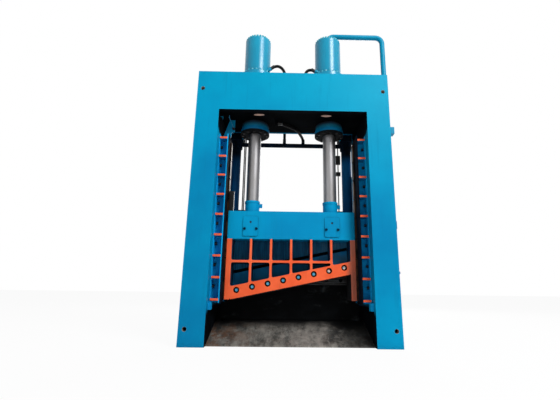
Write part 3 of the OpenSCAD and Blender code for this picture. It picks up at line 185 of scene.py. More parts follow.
class Form:
    """Points and faces of one piece while it is made."""

    def __init__(self):
        self.points, self.faces = [], []

    def rings(self, rows):
        """Skin over rings of equal count, with both ends capped."""
        first, count = len(self.points), len(rows[0])
        for row in rows:
            self.points.extend(row)
        for i in range(len(rows) - 1):
            a, b = first + i * count, first + (i + 1) * count
            for k in range(count):
                m = (k + 1) % count
                self.faces.append((a + k, a + m, b + m, b + k))
        self.faces.append(tuple(first + k for k in reversed(range(count))))
        last = first + (len(rows) - 1) * count
        self.faces.append(tuple(last + k for k in range(count)))

    def tube(self, route, radius, sides=12, ripple=0.0):
        """Round bar along a route; the ripple makes every second ring larger."""
        rows, side = [], None
        for i, p in enumerate(route):
            way = (route[min(i + 1, len(route) - 1)] - route[max(i - 1, 0)]).normalized()
            side = way.orthogonal() if side is None else side - way * side.dot(way)
            side.normalize()
            other = way.cross(side)
            r = radius * (1 + ripple * (i % 2))
            angles = [math.tau * k / sides for k in range(sides)]
            rows.append([p + side * r * math.cos(a) + other * r * math.sin(a) for a in angles])
        self.rings(rows)

    def turned(self, profile, start, way, sides=24):
        """Turned piece: the profile is (distance along, radius) from start."""
        way = Vector(way).normalized()
        side = way.orthogonal().normalized()
        other = way.cross(side)
        rows = []
        for along, r in profile:
            angles = [math.tau * k / sides for k in range(sides)]
            centre = Vector(start) + way * along
            rows.append([centre + side * r * math.cos(a) + other * r * math.sin(a) for a in angles])
        self.rings(rows)

    def piece(self, name, body, finish, slot, smooth=35.0):
        mesh = bpy.data.meshes.new(name)
        mesh.from_pydata([tuple(p) for p in self.points], [], self.faces)
        mesh.materials.append(finish.material)
        mesh.shade_smooth()
        mesh.set_sharp_from_angle(angle=math.radians(smooth))
        made = bpy.data.objects.new(name, mesh)
        bpy.context.scene.collection.objects.link(made)
        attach(made, body)
        return made


def smooth_route(points, step=0.012):
    """Smooth line through the points, which are in millimetres."""
    knots = [Vector(p) / 1000 for p in points]
    knots = [knots[0] * 2 - knots[1], *knots, knots[-1] * 2 - knots[-2]]
    line = []
    for a, b, c, d in zip(knots, knots[1:], knots[2:], knots[3:]):
        count = max(2, round((c - b).length / step))
        for i in range(count):
            t = i / count
            square = (a * 2 - b * 5 + c * 4 - d) * t**2
            cube = (b * 3 - a - c * 3 + d) * t**3
            line.append((b * 2 + (c - a) * t + square + cube) / 2)
    return [*line, knots[-2]]


hose_radius = 0.025
fitting_profile = [
    (0.0, 0.030), (0.022, 0.030), (0.0221, 0.0275), (0.030, 0.0275), (0.032, 0.0295), (0.042, 0.0295),
    (0.044, 0.0280), (0.046, 0.0295), (0.056, 0.0295), (0.058, 0.0280), (0.060, 0.0295), (0.074, 0.0295),
    (0.078, 0.0255),
]
left_loop = [
    (-385, -100, 4485), (-350, -100, 4511), (-310, -100, 4530), (-260, -100, 4536), (-205, -100, 4510),
    (-160, -100, 4450), (-132, -100, 4360), (-120, -100, 4230), (-120, -100, 4100),
]
right_loop = [
    (390, -100, 4450), (350, -100, 4470), (300, -100, 4475), (255, -100, 4455), (220, -100, 4400),
    (200, -100, 4320), (190, -100, 4220), (190, -100, 4100),
]
rubber = Finish("hose_rubber", Metallic=0.0, Specular_IOR_Level=0.12)
bloom = rubber.noise(14.0, 4.0)
wrap = rubber.noise(240.0, 1.0)
rubber.set(
    Base_Color=rubber.mix(bloom.rise(0.45, 0.75), linear(6, 6, 7), linear(20, 19, 18)),
    Roughness=bloom * 0.25 + 0.42,
)
rubber.bump(wrap, 0.25, 0.001)
plated = Finish("plated_fitting", Metallic=1.0)
patina = plated.noise(60.0, 3.0)
plated.set(
    Base_Color=plated.mix(patina.rise(0.4, 0.7), linear(62, 62, 62), linear(30, 30, 31)),
    Roughness=patina * 0.3 + 0.25,
)


def hose_pieces(routes, name, node):
    """One piece of rubber for the hoses on the routes, and one of steel for all their fittings."""
    hose, ends = Form(), Form()
    for points in routes:
        line = smooth_route(points)
        hose.tube(line, hose_radius, 16)
        for start, toward in ((line[0], line[1]), (line[-1], line[-2])):
            ends.turned(fitting_profile, start, toward - start, 24)
    laid = hose.piece(name + "_pair", "frame", rubber, "hose_rubber")
    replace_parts(laid, node)
    ends.piece(name + "_fittings", "frame", plated, "bare_steel")


hose_pieces([left_loop, right_loop], "rod_side_hose", "rod_side_hoses")

# Hold-down hoses: one comes from the rear plate and one from a port block under the crown, and both
# end on the cross pipe between the hold-down cylinders.
straight_hose = [
    (-126, 430, 3319), (-126, 430, 3400), (-126, 426, 3480), (-126, 400, 3550), (-126, 355, 3585),
    (-126, 325, 3590), (-126, 300, 3590),
]
curved_hose = [
    (-235, -170, 3408), (-200, -170, 3408), (-130, -125, 3408), (-36, -45, 3408), (50, 30, 3408),
    (110, 130, 3408), (150, 250, 3408), (185, 350, 3402), (207, 412, 3375), (211, 430, 3345),
    (211, 430, 3319),
]
hose_pieces([straight_hose, curved_hose], "hold_down_hose", "hold_down_hoses")

# Switch cable: a thin lead from the back of the limit switch up to the crown, sprayed over in
# patches when the bracket was painted.
switch_route = [
    (-952, -302, 3265), (-952, -335, 3268), (-965, -352, 3300), (-990, -358, 3350), (-1010, -360, 3400),
    (-1015, -360, 3445),
]
sprayed = Finish("oversprayed_lead", Specular_IOR_Level=0.2)
mottle = sprayed.noise(60.0, 3.0)
sprayed.set(
    Base_Color=sprayed.mix(mottle.rise(0.4, 0.65), linear(70, 158, 200), linear(16, 70, 104)),
    Roughness=mottle * 0.3 + 0.4,
)
lead = Form()
lead.tube(smooth_route(switch_route, 0.006), 0.006, 10)
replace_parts(lead.piece("limit_switch_lead", "frame", sprayed, "hose_rubber"), "switch_cable")


# Portal plates, columns and crown: thick plate, welded, blasted and sprayed in one blue enamel. The
# paint has a fine orange peel, faint runs of dust and rain, chipped edges, and dirt with painted shade
# in its corners.
def enamel(name, colour, shade, gloss=0.4, chips=0.5, dust_and_shade=0.35, specular=0.25):
    """Machine paint. colour is the clean coat and shade its darker tone, gloss is the clean coat's
    roughness, and chips and dust_and_shade say how much shows of the chipped edges and of the dust
    runs with the painted shade in corners, from 0 to 1."""
    f = Finish(name, Specular_IOR_Level=specular)
    cloud = f.noise(0.9, 3.0)
    runs = f.noise(1.0, 3.0, (16.0, 16.0, 0.9)).rise(0.56, 0.78)
    speck = f.noise(38.0, 4.0)
    peel = f.noise(170.0, 2.0)
    coat = f.mix(cloud.rise(0.3, 0.72), shade, colour)
    # the upper right of the machine is a little greener
    upper_right_tint = (f.part(0) * 0.5 + f.part(2)).rise(2.0, 4.6) * 0.6
    greener = tuple(v * k for v, k in zip(colour, (1.0, 1.22, 0.98, 1.0)))
    coat = f.mix(upper_right_tint, coat, greener)
    dull = tuple(0.62 * v for v in shade[:3]) + (1.0,)
    coat = f.mix(runs * dust_and_shade * 0.6, coat, dull)
    # painted shade: deep in corners and recesses the coat is darkened, which also stands for dirt there
    coat = f.mix(f.corners(0.1) * dust_and_shade, coat, linear(18, 30, 38))
    chipped = f.edges(0.006) * speck.rise(0.62 - 0.1 * chips, 0.72)
    coat = f.mix(chipped * chips, coat, linear(96, 104, 106))
    f.coat, f.rough = coat, gloss + runs * 0.12 + chipped * 0.2
    f.set(Base_Color=f.coat, Roughness=f.rough)
    f.bump(peel + speck * 0.6, 0.12, 0.0012)
    return f


BLACKENED_ROUGHNESS = 0.85


def blacken(f, mask, low=(2, 4, 7), high=(10, 15, 20)):
    """A near-black tone over the coat where the mask is 1: soot, oil and grease in some places, painted
    shade in others, and the own colour of dark screws.
    """
    black_tone = f.mix(f.noise(5.0).rise(0.3, 0.8), linear(*low), linear(*high))
    f.coat = f.mix(mask, f.coat, black_tone)
    f.rough = f.rough * (1.0 - mask) + mask * BLACKENED_ROUGHNESS
    f.set(Base_Color=f.coat, Roughness=f.rough)


sky_blue = enamel("frame_blue_enamel", linear(2, 152, 198), linear(4, 130, 180), 0.45, 0.5, 0.35, 0.05)
sky_blue.cover("foot_plates", "hold_down_side_frames", "feed_throat_plate")

# Front plate: one thick flame-cut plate. The walls of its holes are pale grey. The edges of the
# window, high and low, and the faces that look down inside it are near-black, partly with oil mist
# and grease and partly as painted shade.
plate_coat = enamel("front_plate_enamel", linear(2, 152, 198), linear(4, 130, 180), 0.45, 0.5, 0.35, 0.05)
plate_z = plate_coat.part(2)
edge = plate_coat.facing(-1.0, 0.0, 0.0) + plate_coat.facing(1.0, 0.0, 0.0)
inside = 1.0 - plate_coat.off_middle().rise(1.15, 1.2)
low_edge = edge * inside * (1.0 - plate_z.rise(0.40, 0.52))
high_edge = edge * inside * plate_z.rise(3.1, 3.2)
# painted shade with oil and grease: the window's edges high and low and its downward faces go near-black
blacken(plate_coat, low_edge + high_edge + plate_coat.facing(0.0, 0.0, -1.0) * inside)
hole_out, hole_rises = 1.415, (0.226, 3.797)
hole_x = plate_coat.off_middle() - hole_out
for hole_rise in hole_rises:
    hole_z = plate_z - hole_rise
    # the holes have a radius of 30 mm, so its square is 0.0009 on their walls
    wall = 1.0 - (hole_x * hole_x + hole_z * hole_z).rise(0.00093, 0.00100)
    plate_coat.coat = plate_coat.mix(wall, plate_coat.coat, linear(150, 138, 128))
plate_coat.set(Base_Color=plate_coat.coat)
plate_coat.cover("front_portal_plate")

# Rear plate and columns: the same blue outside. Inside the portal they are near-black above the
# guides and below them, partly with oil mist, scrap and grease and partly as painted shade.
inner_coat = enamel("inner_column_enamel", linear(2, 146, 192), linear(4, 122, 170), 0.5, 0.5, 0.4, 0.03)
height = inner_coat.part(2)
within = 1.0 - inner_coat.off_middle().rise(1.15, 1.19)
shut = 1.0 - height.rise(0.50, 0.58) + height.rise(3.08, 3.16)
# painted shade with grease: the inner faces go near-black above and below the guides
blacken(inner_coat, within * shut * (1.0 - inner_coat.part(1).rise(0.24, 0.28)))
inner_coat.cover("rear_portal_plate", "left_column", "right_column")


# Weld beads of the frame: fillet runs in the inside corners, laid by hand in short overlapping scales
# and sprayed over with the plates.
def scaled_run(form, points, radius, pitch=0.006):
    """Weld run along straight lines, with one ripple for each two pitches."""
    line = []
    for a, b in zip(points, points[1:]):
        a, b = Vector(a), Vector(b)
        count = max(2, round((b - a).length / pitch))
        line.extend(a.lerp(b, i / count) for i in range(count))
    form.tube([*line, Vector(points[-1])], radius, 6, 0.16)


def circle(x, y, z, radius, count=72):
    angles = [math.tau * k / count for k in range(count + 1)]
    return [(x + radius * math.cos(a), y + radius * math.sin(a), z) for a in angles]


frame_beads = Form()
rear_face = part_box("rear_portal_plate")[1].y
crown_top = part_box("front_portal_plate")[1].z
cap_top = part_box("end_cap_bolts")[1].z - 0.034
side_frame_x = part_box("hold_down_side_frames")[1].x
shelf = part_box("hold_down_brackets")
throat_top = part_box("feed_throat_plate")[1].z
barrel_x, flange_radius, cap_ring_radius = 0.625, 0.275, 0.130
side_frame_top = 2.7
sole_in, sole_out, sole_top = 1.185, 1.460, 0.04
gusset_places, gusset_back, gusset_top = (1.205, 1.440), 0.418, 0.235
shelf_in, shelf_out = 0.863, 1.107
throat_in, throat_out, throat_low = 0.950, 1.075, 0.975
throat_front, throat_back = 0.640, 0.694
column_x, pad_places, pad_height, pad_half = 1.5, (1.700, 3.325), 0.119, 0.06
for side in (-1, 1):
    x = side * barrel_x
    scaled_run(frame_beads, circle(x, 0, crown_top, flange_radius), 0.009, 0.012)
    scaled_run(frame_beads, circle(x, 0, cap_top, cap_ring_radius), 0.006, 0.012)
    # side frames, soles and their gussets behind the rear plate
    outer = side * side_frame_x
    scaled_run(frame_beads, [(outer, rear_face, 0.0), (outer, rear_face, side_frame_top)], 0.009)
    sole = [(side * x, rear_face, sole_top) for x in (sole_in, sole_out)]
    scaled_run(frame_beads, sole, 0.008)
    for x in gusset_places:
        foot = (side * x, rear_face, sole_top)
        scaled_run(frame_beads, [(side * x, gusset_back, sole_top), foot], 0.007)
        scaled_run(frame_beads, [foot, (side * x, rear_face, gusset_top)], 0.007)
    # shelves of the hold-down cylinders
    shelf_ends = side * shelf_in, side * shelf_out
    for x in shelf_ends:
        scaled_run(frame_beads, [(x, rear_face, shelf[0].z), (x, rear_face, shelf[1].z)], 0.008)
    scaled_run(frame_beads, [(x, rear_face, shelf[1].z) for x in shelf_ends], 0.008)
    # throat plate
    x = side * throat_out
    scaled_run(frame_beads, [(x, throat_front, throat_low), (x, throat_front, throat_top)], 0.008)
    threshold = [(side * x, throat_back, throat_low) for x in (throat_in, throat_out)]
    scaled_run(frame_beads, threshold, 0.005)
# pads of the oil pipe's clamps on the right column
for low_z in pad_places:
    high_z = low_z + pad_height
    bottom, top = [[(side * pad_half, z) for side in (-1, 1)] for z in (low_z, high_z)]
    ring = [*bottom, *reversed(top), bottom[0]]
    scaled_run(frame_beads, [(column_x, y, z) for y, z in ring], 0.006)
frame_beads.piece("frame_weld_beads", "frame", sky_blue, "frame_blue", 50.0)

# Crown: the same blue outside, but its underside and the lower part of its plates are near-black,
# a painted shade, with two pale pinkish patches, one before each cylinder.
crown_coat = enamel("crown_enamel", linear(2, 148, 192), linear(4, 128, 178), 0.5, 0.5, 0.35, 0.03)
crown_shade = 1.0 - crown_coat.part(2).rise(3.47, 3.5)
across = crown_coat.off_middle() - 0.535
along = crown_coat.part(1) + 0.40
ellipse = across * across * 130.0 + along * along * 900.0
patch = 1.0 - (ellipse + crown_coat.noise(30.0) * 0.5).rise(0.9, 1.3)
# painted shade: the crown below the level of its underside is made near-black
blacken(crown_coat, crown_shade, (1, 2, 3), (6, 9, 12))
crown_coat.coat = crown_coat.mix(patch, crown_coat.coat, linear(214, 172, 152))
crown_coat.set(Base_Color=crown_coat.coat)
crown_coat.cover("crown")

# Knife beam: heavy cross beam of scorched steel under the lower blade, near-black partly with oil
# and partly as painted shade under the blade. Falling scrap has scuffed its front face pale in places.
oily_and_shaded = Finish("oily_shaded_black_steel", Metallic=0.0, Specular_IOR_Level=0.03)
smear = oily_and_shaded.noise(3.2, 5.0, (1.0, 1.0, 1.7))
scuff = oily_and_shaded.noise(2.6, 6.0, (0.8, 1.0, 1.4), 0.7).rise(0.52, 0.72)
streak = oily_and_shaded.noise(1.0, 5.0, (22.0, 22.0, 3.0), 0.65).rise(0.55, 0.8)
# painted shade: the near-black film stands for oil and for the shade under the lower blade
beam_black = oily_and_shaded.mix(smear.rise(0.35, 0.7), linear(3, 4, 5), linear(12, 14, 16))
oily_and_shaded.set(
    Base_Color=oily_and_shaded.mix(scuff * (streak * 0.6 + 0.4), beam_black, linear(78, 82, 84)),
    Roughness=smear * 0.3 + 0.5,
)
oily_and_shaded.bump(streak + smear, 0.2, 0.002)
oily_and_shaded.cover("lower_knife_beam", "lower_blade_bolts")

# Blades: bars of tool steel, the lower one bolted to the beam and the upper one to the slide. Their
# faces are dark with oil and scratched by the sheared pieces.
blade_steel = Finish("blade_steel", Metallic=0.5, Specular_IOR_Level=0.2)
drag = blade_steel.noise(1.0, 6.0, (3.0, 40.0, 60.0), 0.7)
stain = blade_steel.noise(6.0, 4.0)
grey = blade_steel.mix(drag.rise(0.4, 0.7), linear(16, 17, 18), linear(66, 68, 70))
blade_steel.set(
    Base_Color=blade_steel.mix(stain.rise(0.5, 0.75), grey, linear(30, 25, 22)),
    Roughness=drag * 0.35 + 0.25,
)
blade_steel.bump(drag, 0.25, 0.001)
blade_steel.cover("lower_blade", "upper_blade")

# Discharge chute: plain plate, scoured pale in the middle by years of sliding scrap and made paler
# there as painted light, with rust and mill scale at the left, near-black at the right, and a
# painted shadow under the knife beam.
slid = Finish("scraped_plate", Metallic=0.25, Specular_IOR_Level=0.2)
slide_marks = slid.noise(1.0, 8.0, (6.5, 3.2, 3.2), 0.78)
scratches = slid.noise(1.0, 4.0, (90.0, 6.0, 6.0), 0.6).rise(0.6, 0.72)
clouding = slid.noise(2.4, 6.0, (1.0, 1.3, 1.0), 0.7)
rust = slid.noise(4.5, 6.0, (1.4, 1.0, 1.0), 0.7)
plate = slid.mix(slide_marks.rise(0.34, 0.68), linear(62, 62, 60), linear(146, 143, 136))
plate = slid.mix(clouding.rise(0.5, 0.62) * 0.8, plate, linear(44, 45, 45))
plate = slid.mix(scratches * 0.6, plate, linear(176, 174, 168))
left_side = 1.0 - slid.part(0).rise(-1.15, -0.3)
plate = slid.mix(rust.rise(0.42, 0.62) * (left_side * 0.8 + 0.12), plate, linear(98, 66, 46))
# painted light: the scoured middle is paler than the steel alone would be
scoured_and_lit = slid.part(0).rise(-0.5, 0.3) * (1.0 - (slid.part(0) + clouding * 0.6).rise(0.7, 1.1))
plate = slid.mix(scoured_and_lit * (slide_marks.rise(0.4, 0.6) * 0.4 + 0.12), plate, linear(170, 163, 156))
dark_right = (slid.part(0) + clouding * 0.5).rise(0.85, 1.1)
plate = slid.mix(dark_right * 0.75, plate, linear(16, 16, 17))
# painted shadow: the plate goes near-black under the knife beam
beam_shadow = (slid.part(1) + clouding * 0.35).rise(0.02, 0.36)
plate = slid.mix(beam_shadow, plate, linear(10, 10, 11))
slid.set(Base_Color=plate, Roughness=slide_marks * 0.25 + 0.45)
slid.bump(slide_marks + clouding * 0.8, 0.35, 0.003)
slid.cover("discharge_chute")

# Weld beads of the chute: a fillet run along each column, laid by hand and never painted. They take
# the knife beam's near-black, partly oil and partly painted shade.
chute_beads = Form()
for side in (-1, 1):
    x = side * 1.145
    scaled_run(chute_beads, [(x, -0.470, 0.025), (x, 0.225, 0.298)], 0.007)
chute_beads.piece("chute_weld_beads", "frame", oily_and_shaded, "dark_steel", 50.0)

# Guides: a guide plate, bay plate and side plate a side, welded to the column and sprayed light blue.
# The faces nearest the slide are near-black, at the right over the whole guide plate, and the right
# guide's blue is a lighter copy of the left's, painted light for its bays in the column's shade.
GUIDE_BLACK = (2, 6, 14), (10, 22, 38)
guide_coat = enamel("guide_enamel", linear(12, 170, 232), linear(10, 144, 204), 0.5, 0.6, 0.08, 0.06)
guide_x = guide_coat.part(0)
blacken(guide_coat, guide_x.rise(-1.004, -1.001) * (1.0 - guide_x.rise(0.0, 0.1)), *GUIDE_BLACK)
guide_coat.cover("left_guide", "rear_guide_bars")
# painted light: a lighter copy of the guide's blue, for the right guide in the column's shade
right_guide_coat = enamel(
    "right_guide_enamel", linear(14, 178, 240), linear(12, 150, 212), 0.5, 0.6, 0.06, 0.05
)
blacken(right_guide_coat, 1.0 - right_guide_coat.part(0).rise(1.019, 1.022), *GUIDE_BLACK)
right_guide_coat.cover("right_guide")

# Guide ribs: flat bars between the guide plate and the column. Only their front edges are orange,
# which the painter rolled on last.
rib_coat = enamel("rib_enamel", linear(8, 136, 190), linear(6, 108, 158), 0.45, 0.6, 0.3, 0.2)
orange = rib_coat.mix(rib_coat.noise(9.0).rise(0.3, 0.75), linear(244, 92, 44), linear(255, 110, 64))
rib_coat.set(Base_Color=rib_coat.mix(rib_coat.facing(0.0, -1.0, 0.0), rib_coat.coat, orange))
rib_coat.cover("guide_ribs")

# Weld beads in the guide bays: each rib is welded above and below to the plates on three sides, in
# thin runs that were sprayed over with the guide.
bay_beads = Form()
rib_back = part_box("guide_ribs")[1].y
rib_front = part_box("guide_ribs")[0].y
rib_count, first_rib, rib_pitch, half_rib = 9, 0.605, 0.305, 0.015
for side in (-1, 1):
    inner, outer = side * 1.020, side * 1.133
    for rib in range(rib_count):
        for edge in (-half_rib, half_rib):
            z = first_rib + rib_pitch * rib + edge
            trace = [(inner, rib_front + 0.012, z), (inner, rib_back, z), (outer, rib_back, z)]
            scaled_run(bay_beads, [*trace, (outer, rib_front + 0.012, z)], 0.005, 0.008)
bay_beads.piece("guide_bay_weld_beads", "frame", guide_coat, "frame_blue", 50.0)

# Guide screws: black steel hexagon screws, one to a bay. They go through the side plate into the
# column and hold the guide in line.
black_bolt = Finish("black_screw_steel", Metallic=0.7)
soil = black_bolt.noise(45.0, 3.0)
black_bolt.set(
    Base_Color=black_bolt.mix(soil.rise(0.4, 0.7), linear(20, 21, 23), linear(52, 50, 48)),
    Roughness=soil * 0.3 + 0.35,
)
black_bolt.cover("guide_screws", "gland_bolts", "hold_down_flange_bolts")

# Wear strips: flat bronze bars between the slide and its guides, brown under old grease and bright
# only where the slide rubs. The rod bushes are of the same bronze.
strip_bronze = Finish("greasy_bronze", Metallic=0.9)
grease = strip_bronze.noise(11.0, 5.0, (1.0, 1.0, 0.6))
strip_bronze.set(
    Base_Color=strip_bronze.mix(grease.rise(0.4, 0.62), linear(58, 40, 28), linear(6, 6, 8)),
    Roughness=grease * 0.4 + 0.25,
)
strip_bronze.bump(grease, 0.3, 0.0015)
strip_bronze.cover("guide_wear_strips", "side_wear_strips", "rod_seals")

# Shear cylinders: honed barrels with a base flange, a cap and a ring of cap screws, all under one
# enamel, glossier than the plates'. Just under the crown the barrels are near-black, a painted
# shade under the crown.
barrel_coat = enamel("barrel_enamel", linear(2, 146, 190), linear(2, 104, 150), 0.26, 0.4, 0.5, 0.32)
# painted shade: a near-black band on the barrels just under the crown
foot = (1.0 - barrel_coat.part(2).rise(3.5, 3.52)) * barrel_coat.part(2).rise(3.32, 3.44)
blacken(barrel_coat, foot, (1, 10, 18), (2, 30, 48))
barrel_coat.cover("left_cylinder_barrel", "right_cylinder_barrel", "cylinder_end_caps")
screw_coat = enamel(
    "painted_screw_enamel", linear(50, 168, 200), linear(20, 120, 156), 0.4, 1.0, 0.4, 0.3
)
screw_coat.cover("end_cap_bolts", "cylinder_flange_bolts")

# Rod glands: stepped steel heads, turned and bolted under the barrels. They are dark blue, and their
# lower ends are near-black, partly with oil and partly as painted shade.
gland_coat = enamel("gland_enamel", linear(4, 118, 172), linear(2, 80, 128), 0.28, 0.4, 0.5, 0.2)
# painted shade with oil: the glands go near-black below the flange
blacken(gland_coat, 1.0 - gland_coat.part(2).rise(3.284, 3.294), (1, 2, 3), (7, 9, 12))
gland_coat.cover("rod_glands")

# Oil pipes: drawn steel tube with swept bends, held by bolted flanges and clamps and painted in
# place, as the bracket of the limit switch was.
pipe_coat = enamel("pipe_enamel", linear(2, 138, 184), linear(2, 108, 154), 0.34, 0.5, 0.5, 0.1)
pipe_coat.cover("oil_pipe", "oil_pipe_clamps", "left_feed_pipe", "limit_switch_bracket")

# Hold-down cylinders: dark blue, in the shade behind the slide, with their cross pipe and shelves,
# and near-black at the top as painted shade under the crown.
deep_blue = enamel("dark_blue_enamel", linear(6, 94, 146), linear(3, 62, 102), 0.45, 0.7, 0.4, 0.08)
# painted shade: the tops go near-black under the crown
blacken(deep_blue, deep_blue.part(2).rise(2.9, 3.1), (2, 8, 16), (4, 28, 46))
deep_blue.cover("hold_down_brackets", "hold_down_barrels", "hold_down_cross_pipe", "hold_down_beam")
black_bolt.cover("hold_down_glands", "service_pipes", "limit_switch")

# Rails and shoe of the hold-down, pins and pistons: bare steel, dark with old grease and rust, and
# rubbed paler in the tracks.
rail_steel = Finish("rubbed_rusty_steel", Metallic=0.4, Specular_IOR_Level=0.2)
crust = rail_steel.noise(7.0, 6.0, (1.0, 1.0, 0.5), 0.7)
rub = rail_steel.noise(1.0, 4.0, (70.0, 70.0, 2.5))
steel = rail_steel.mix(rub.rise(0.35, 0.7), linear(30, 36, 44), linear(70, 74, 80))
rail_steel.set(
    Base_Color=rail_steel.mix(crust.rise(0.45, 0.62), steel, linear(48, 34, 28)),
    Roughness=crust * 0.4 + 0.3,
)
rail_steel.bump(crust + rub * 0.4, 0.35, 0.0015)
rail_steel.cover("hold_down_rails", "hold_down_shoe", "hold_down_pins", "hold_down_pistons")
rail_steel.cover("rod_pins", "pistons")

# Blade slide: a box beam of welded plate over an orange grid, with a sleeve for each rod on its top,
# all in the frame's blue.
beam_coat = enamel("slide_blue_enamel", linear(2, 156, 206), linear(4, 138, 190), 0.42, 0.5, 0.3, 0.06)
beam_coat.cover("slide_beam", "rod_sleeves")

# Pin retainers: flame-cut keeper plates in the beam's blue, with black-blue cap screws. Their sides
# and the rims of their fronts are darkened as painted shade round the plates.
keeper_coat = enamel("keeper_enamel", linear(2, 154, 204), linear(4, 134, 186), 0.42, 0.5, 0.3, 0.06)
KEEPER_SHADE = (2, 24, 40), (4, 50, 78)
# painted shade: the sides of the plates and a rim along the edges of their fronts go dark
keeper_shaded_sides = 1.0 - keeper_coat.facing(0.0, -1.0, 0.0)
keeper_screw = 1.0 - keeper_coat.part(1).rise(-0.2035, -0.2025)
blacken(keeper_coat, keeper_shaded_sides * (1.0 - keeper_screw), *KEEPER_SHADE)
blacken(keeper_coat, keeper_screw, (2, 20, 34), (6, 58, 90))
blacken(keeper_coat, keeper_coat.edges(0.009) * 0.7, *KEEPER_SHADE)
keeper_coat.cover("pin_retainers")

# Weld beads of the slide: a ring round the foot of each rod sleeve, laid by hand in short scales and
# sprayed over with the beam.
sleeve_beads = Form()
for side in (-1, 1):
    scaled_run(sleeve_beads, circle(side * barrel_x, 0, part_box("slide_beam")[1].z, 0.116), 0.006, 0.010)
sleeve_beads.piece("sleeve_weld_beads", "slide", beam_coat, "frame_blue", 50.0)

# Grid: posts, ribs and the raked blade holder, cut from plate and welded. Only the front faces are
# orange, dull and pinkish on the right post. The pockets are dark blue, and the holder's other faces
# with the counterbores are near-black as painted shade.
grid_coat = enamel("grid_enamel", linear(8, 56, 88), linear(5, 36, 60), 0.45, 0.5, 0.7)
RAKE_SLOPE = math.tan(math.radians(12.0))
RAKE_MIDDLE = 0.6 + 0.895 * RAKE_SLOPE


def above_rake(finish):
    """Height above the raked lower edge of the holder, in metres."""
    return finish.part(2) - finish.part(0) * RAKE_SLOPE - RAKE_MIDDLE


# painted shade: the holder's faces other than its front, counterbores included, are made near-black
blacken(grid_coat, 1.0 - above_rake(grid_coat).rise(0.18, 0.19), (2, 3, 5), (8, 12, 16))
front = grid_coat.facing(0.0, -1.0, 0.0) * (1.0 - grid_coat.part(1).rise(-0.186, -0.184))
warm = grid_coat.noise(2.4, 4.0).rise(0.3, 0.75)
orange = grid_coat.mix(warm, linear(240, 90, 46), linear(255, 110, 64))
wipe = grid_coat.noise(1.0, 5.0, (8.0, 8.0, 1.3)).rise(0.58, 0.8) * 0.35
dull_post = grid_coat.part(0).rise(0.80, 0.91) * (grid_coat.noise(4.0).rise(0.25, 0.6) * 0.35 + 0.6)
orange = grid_coat.mix(wipe, orange, linear(150, 62, 36))
orange = grid_coat.mix(dull_post, orange, linear(176, 100, 80))
worn = grid_coat.edges(0.006) * grid_coat.noise(38.0, 4.0).rise(0.55, 0.68)
orange = grid_coat.mix(worn * 0.7, orange, linear(70, 56, 52))
grid_coat.set(Base_Color=grid_coat.mix(front, grid_coat.coat, orange))
grid_coat.cover("slide_grid")

# Back plate of the slide: blue, darker and streaked in upright lines above and greyer in patches at
# the right, with a black band along the step over the blade's seat that is a painted shadow.
back_coat = enamel("back_plate_enamel", linear(30, 146, 205), linear(18, 114, 168), 0.5, 0.5, 0.3, 0.06)
from_rake = above_rake(back_coat)
upper = from_rake.rise(0.40, 0.43)
combed = back_coat.noise(1.0, 5.0, (38.0, 38.0, 1.6), 0.7)
greyer_patches = back_coat.part(0).rise(0.05, 0.6) * back_coat.noise(5.0, 5.0).rise(0.3, 0.6)
streaky = back_coat.mix(combed.rise(0.38, 0.62), linear(8, 54, 84), linear(44, 118, 156))
back_coat.coat = back_coat.mix(upper * 0.75, back_coat.coat, streaky)
back_coat.coat = back_coat.mix(greyer_patches * 0.55, back_coat.coat, linear(86, 128, 148))
# painted shadow: a black band along the step under the upper plate
step_shadow = from_rake.rise(0.376, 0.388) * (1.0 - from_rake.rise(0.424, 0.438))
blacken(back_coat, step_shadow, (1, 3, 6), (5, 14, 22))
back_coat.cover("slide_back_plate")

# Guide wings and striker: machined steel bars, the wings on the slide's sides to run in the guides
# and the striker for the limit switch to sense, all black with grease.
wing_steel = Finish("greased_steel", Metallic=0.5, Specular_IOR_Level=0.4)
lump = wing_steel.noise(18.0, 4.0, (1.0, 1.0, 0.5))
wing_steel.set(
    Base_Color=wing_steel.mix(lump.rise(0.4, 0.7), linear(6, 8, 12), linear(22, 24, 28)),
    Roughness=lump * 0.25 + 0.25,
)
wing_steel.bump(lump, 0.4, 0.002)
wing_steel.cover("slide_guide_wings", "striker")

# Blade bolts: their nuts sit deep in counterbores, bright blue and made paler than their paint as
# painted light there; the ones at the right have pale pinkish-white patches, partly worn paint and
# partly a painted highlight.
lit_nut_coat = enamel("lit_nut_enamel", linear(110, 205, 240), linear(50, 165, 215), 0.25, 0.8, 0.2, 0.5)
# painted highlight with worn paint: pale pinkish-white patches on the nuts at the right
bare_and_glint = lit_nut_coat.part(0).rise(0.5, 0.55) * lit_nut_coat.noise(30.0).rise(0.3, 0.5)
lit_nut_coat.set(Base_Color=lit_nut_coat.mix(bare_and_glint, lit_nut_coat.coat, linear(236, 206, 196)))
lit_nut_coat.cover("upper_blade_bolts")

# Piston rods: round steel bar, ground and hard chromed, with faint rings from the wheel and a thin
# film of oil.
rod_chrome = Finish("hard_chrome", Metallic=0.85)
grind = rod_chrome.noise(1.0, 2.0, (6.0, 6.0, 900.0))
oil = rod_chrome.noise(3.0, 4.0, (1.0, 1.0, 0.3))
rod_chrome.set(
    Base_Color=rod_chrome.mix(oil.rise(0.4, 0.8), linear(148, 148, 151), linear(126, 122, 119)),
    Roughness=grind * 0.08 + oil * 0.12 + 0.34,
)
rod_chrome.cover("piston_rods", "hold_down_rods")


# Studio: a white floor and a white surround, a broad soft light high before the machine to the right,
# a weak one to the left and one behind, so that the crown's underside stays dark.
WHITE = (1.0, 1.0, 1.0, 1.0)


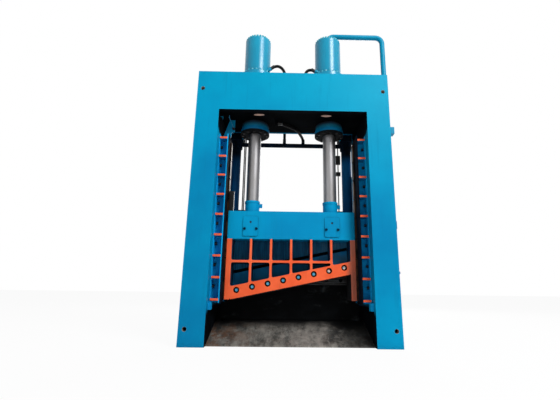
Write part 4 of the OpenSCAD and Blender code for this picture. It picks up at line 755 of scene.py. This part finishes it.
class Surround(Finish):
    """What stands round the floor; its nodes are made and set as a finish's are."""

    def __init__(self, name, **sockets):
        world = bpy.data.worlds.new(name)
        bpy.context.scene.world = world
        world.use_nodes = True
        self.tree = world.node_tree
        self.shader = self.tree.nodes["Background"]
        self.set(**sockets)


def white_in_view(f, glow, most, output):
    """Glows where the camera looks, straight or by way of metal or glass, and is lit elsewhere."""
    kinds = "Is Camera Ray", "Is Glossy Ray", "Is Transmission Ray"
    seen, mirrored, passed = (f.node("LightPath", {}, {}, kind) for kind in kinds)
    direct = seen + mirrored + passed
    share = direct.math("MINIMUM", direct, 1.0) * most
    blend = f.node("MixShader", {}, {0: share, 1: Wire(f, f.shader.outputs[0]), 2: glow})
    f.tree.links.new(blend.socket, f.tree.nodes[output].inputs["Surface"])


floor_mesh = bpy.data.meshes.new("floor")
reach = 60.0
floor_corners = [(x * reach, y * reach, 0.0) for x, y in ((-1, -1), (1, -1), (1, 1), (-1, 1))]
floor_mesh.from_pydata(floor_corners, [], [(0, 1, 2, 3)])
floor = bpy.data.objects.new("floor", floor_mesh)
bpy.context.scene.collection.objects.link(floor)
ground = Finish("pale_floor", Base_Color=(0.9, 0.9, 0.9, 1.0), Roughness=0.9, Specular_IOR_Level=0.0)
glow = ground.node("Emission", {}, {"Color": WHITE, "Strength": 1.0})
white_in_view(ground, glow, 0.94, "Material Output")
floor_mesh.materials.append(ground.material)

surround = Surround("studio", Color=WHITE, Strength=0.26)
clear = surround.node("Background", {}, {"Color": WHITE, "Strength": 1.0})
white_in_view(surround, clear, 1.0, "World Output")


def soft_light(name, place, aim, width, power):
    lamp = bpy.data.lights.new(name, "AREA")
    lamp.shape, lamp.size, lamp.energy = "SQUARE", width, power
    held = bpy.data.objects.new(name, lamp)
    way = Vector(aim) - Vector(place)
    held.matrix_world = Matrix.Translation(place) @ way.to_track_quat("-Z", "Y").to_matrix().to_4x4()
    bpy.context.scene.collection.objects.link(held)


soft_light("key_light", (5.5, -8.0, 10.5), (0.0, 0.0, 2.4), 4.0, 1360.0)
soft_light("fill_light", (-6.5, -8.0, 5.0), (0.0, 0.0, 2.0), 6.0, 70.0)
soft_light("back_light", (3.0, 9.5, 6.0), (0.0, 0.0, 2.0), 6.0, 520.0)
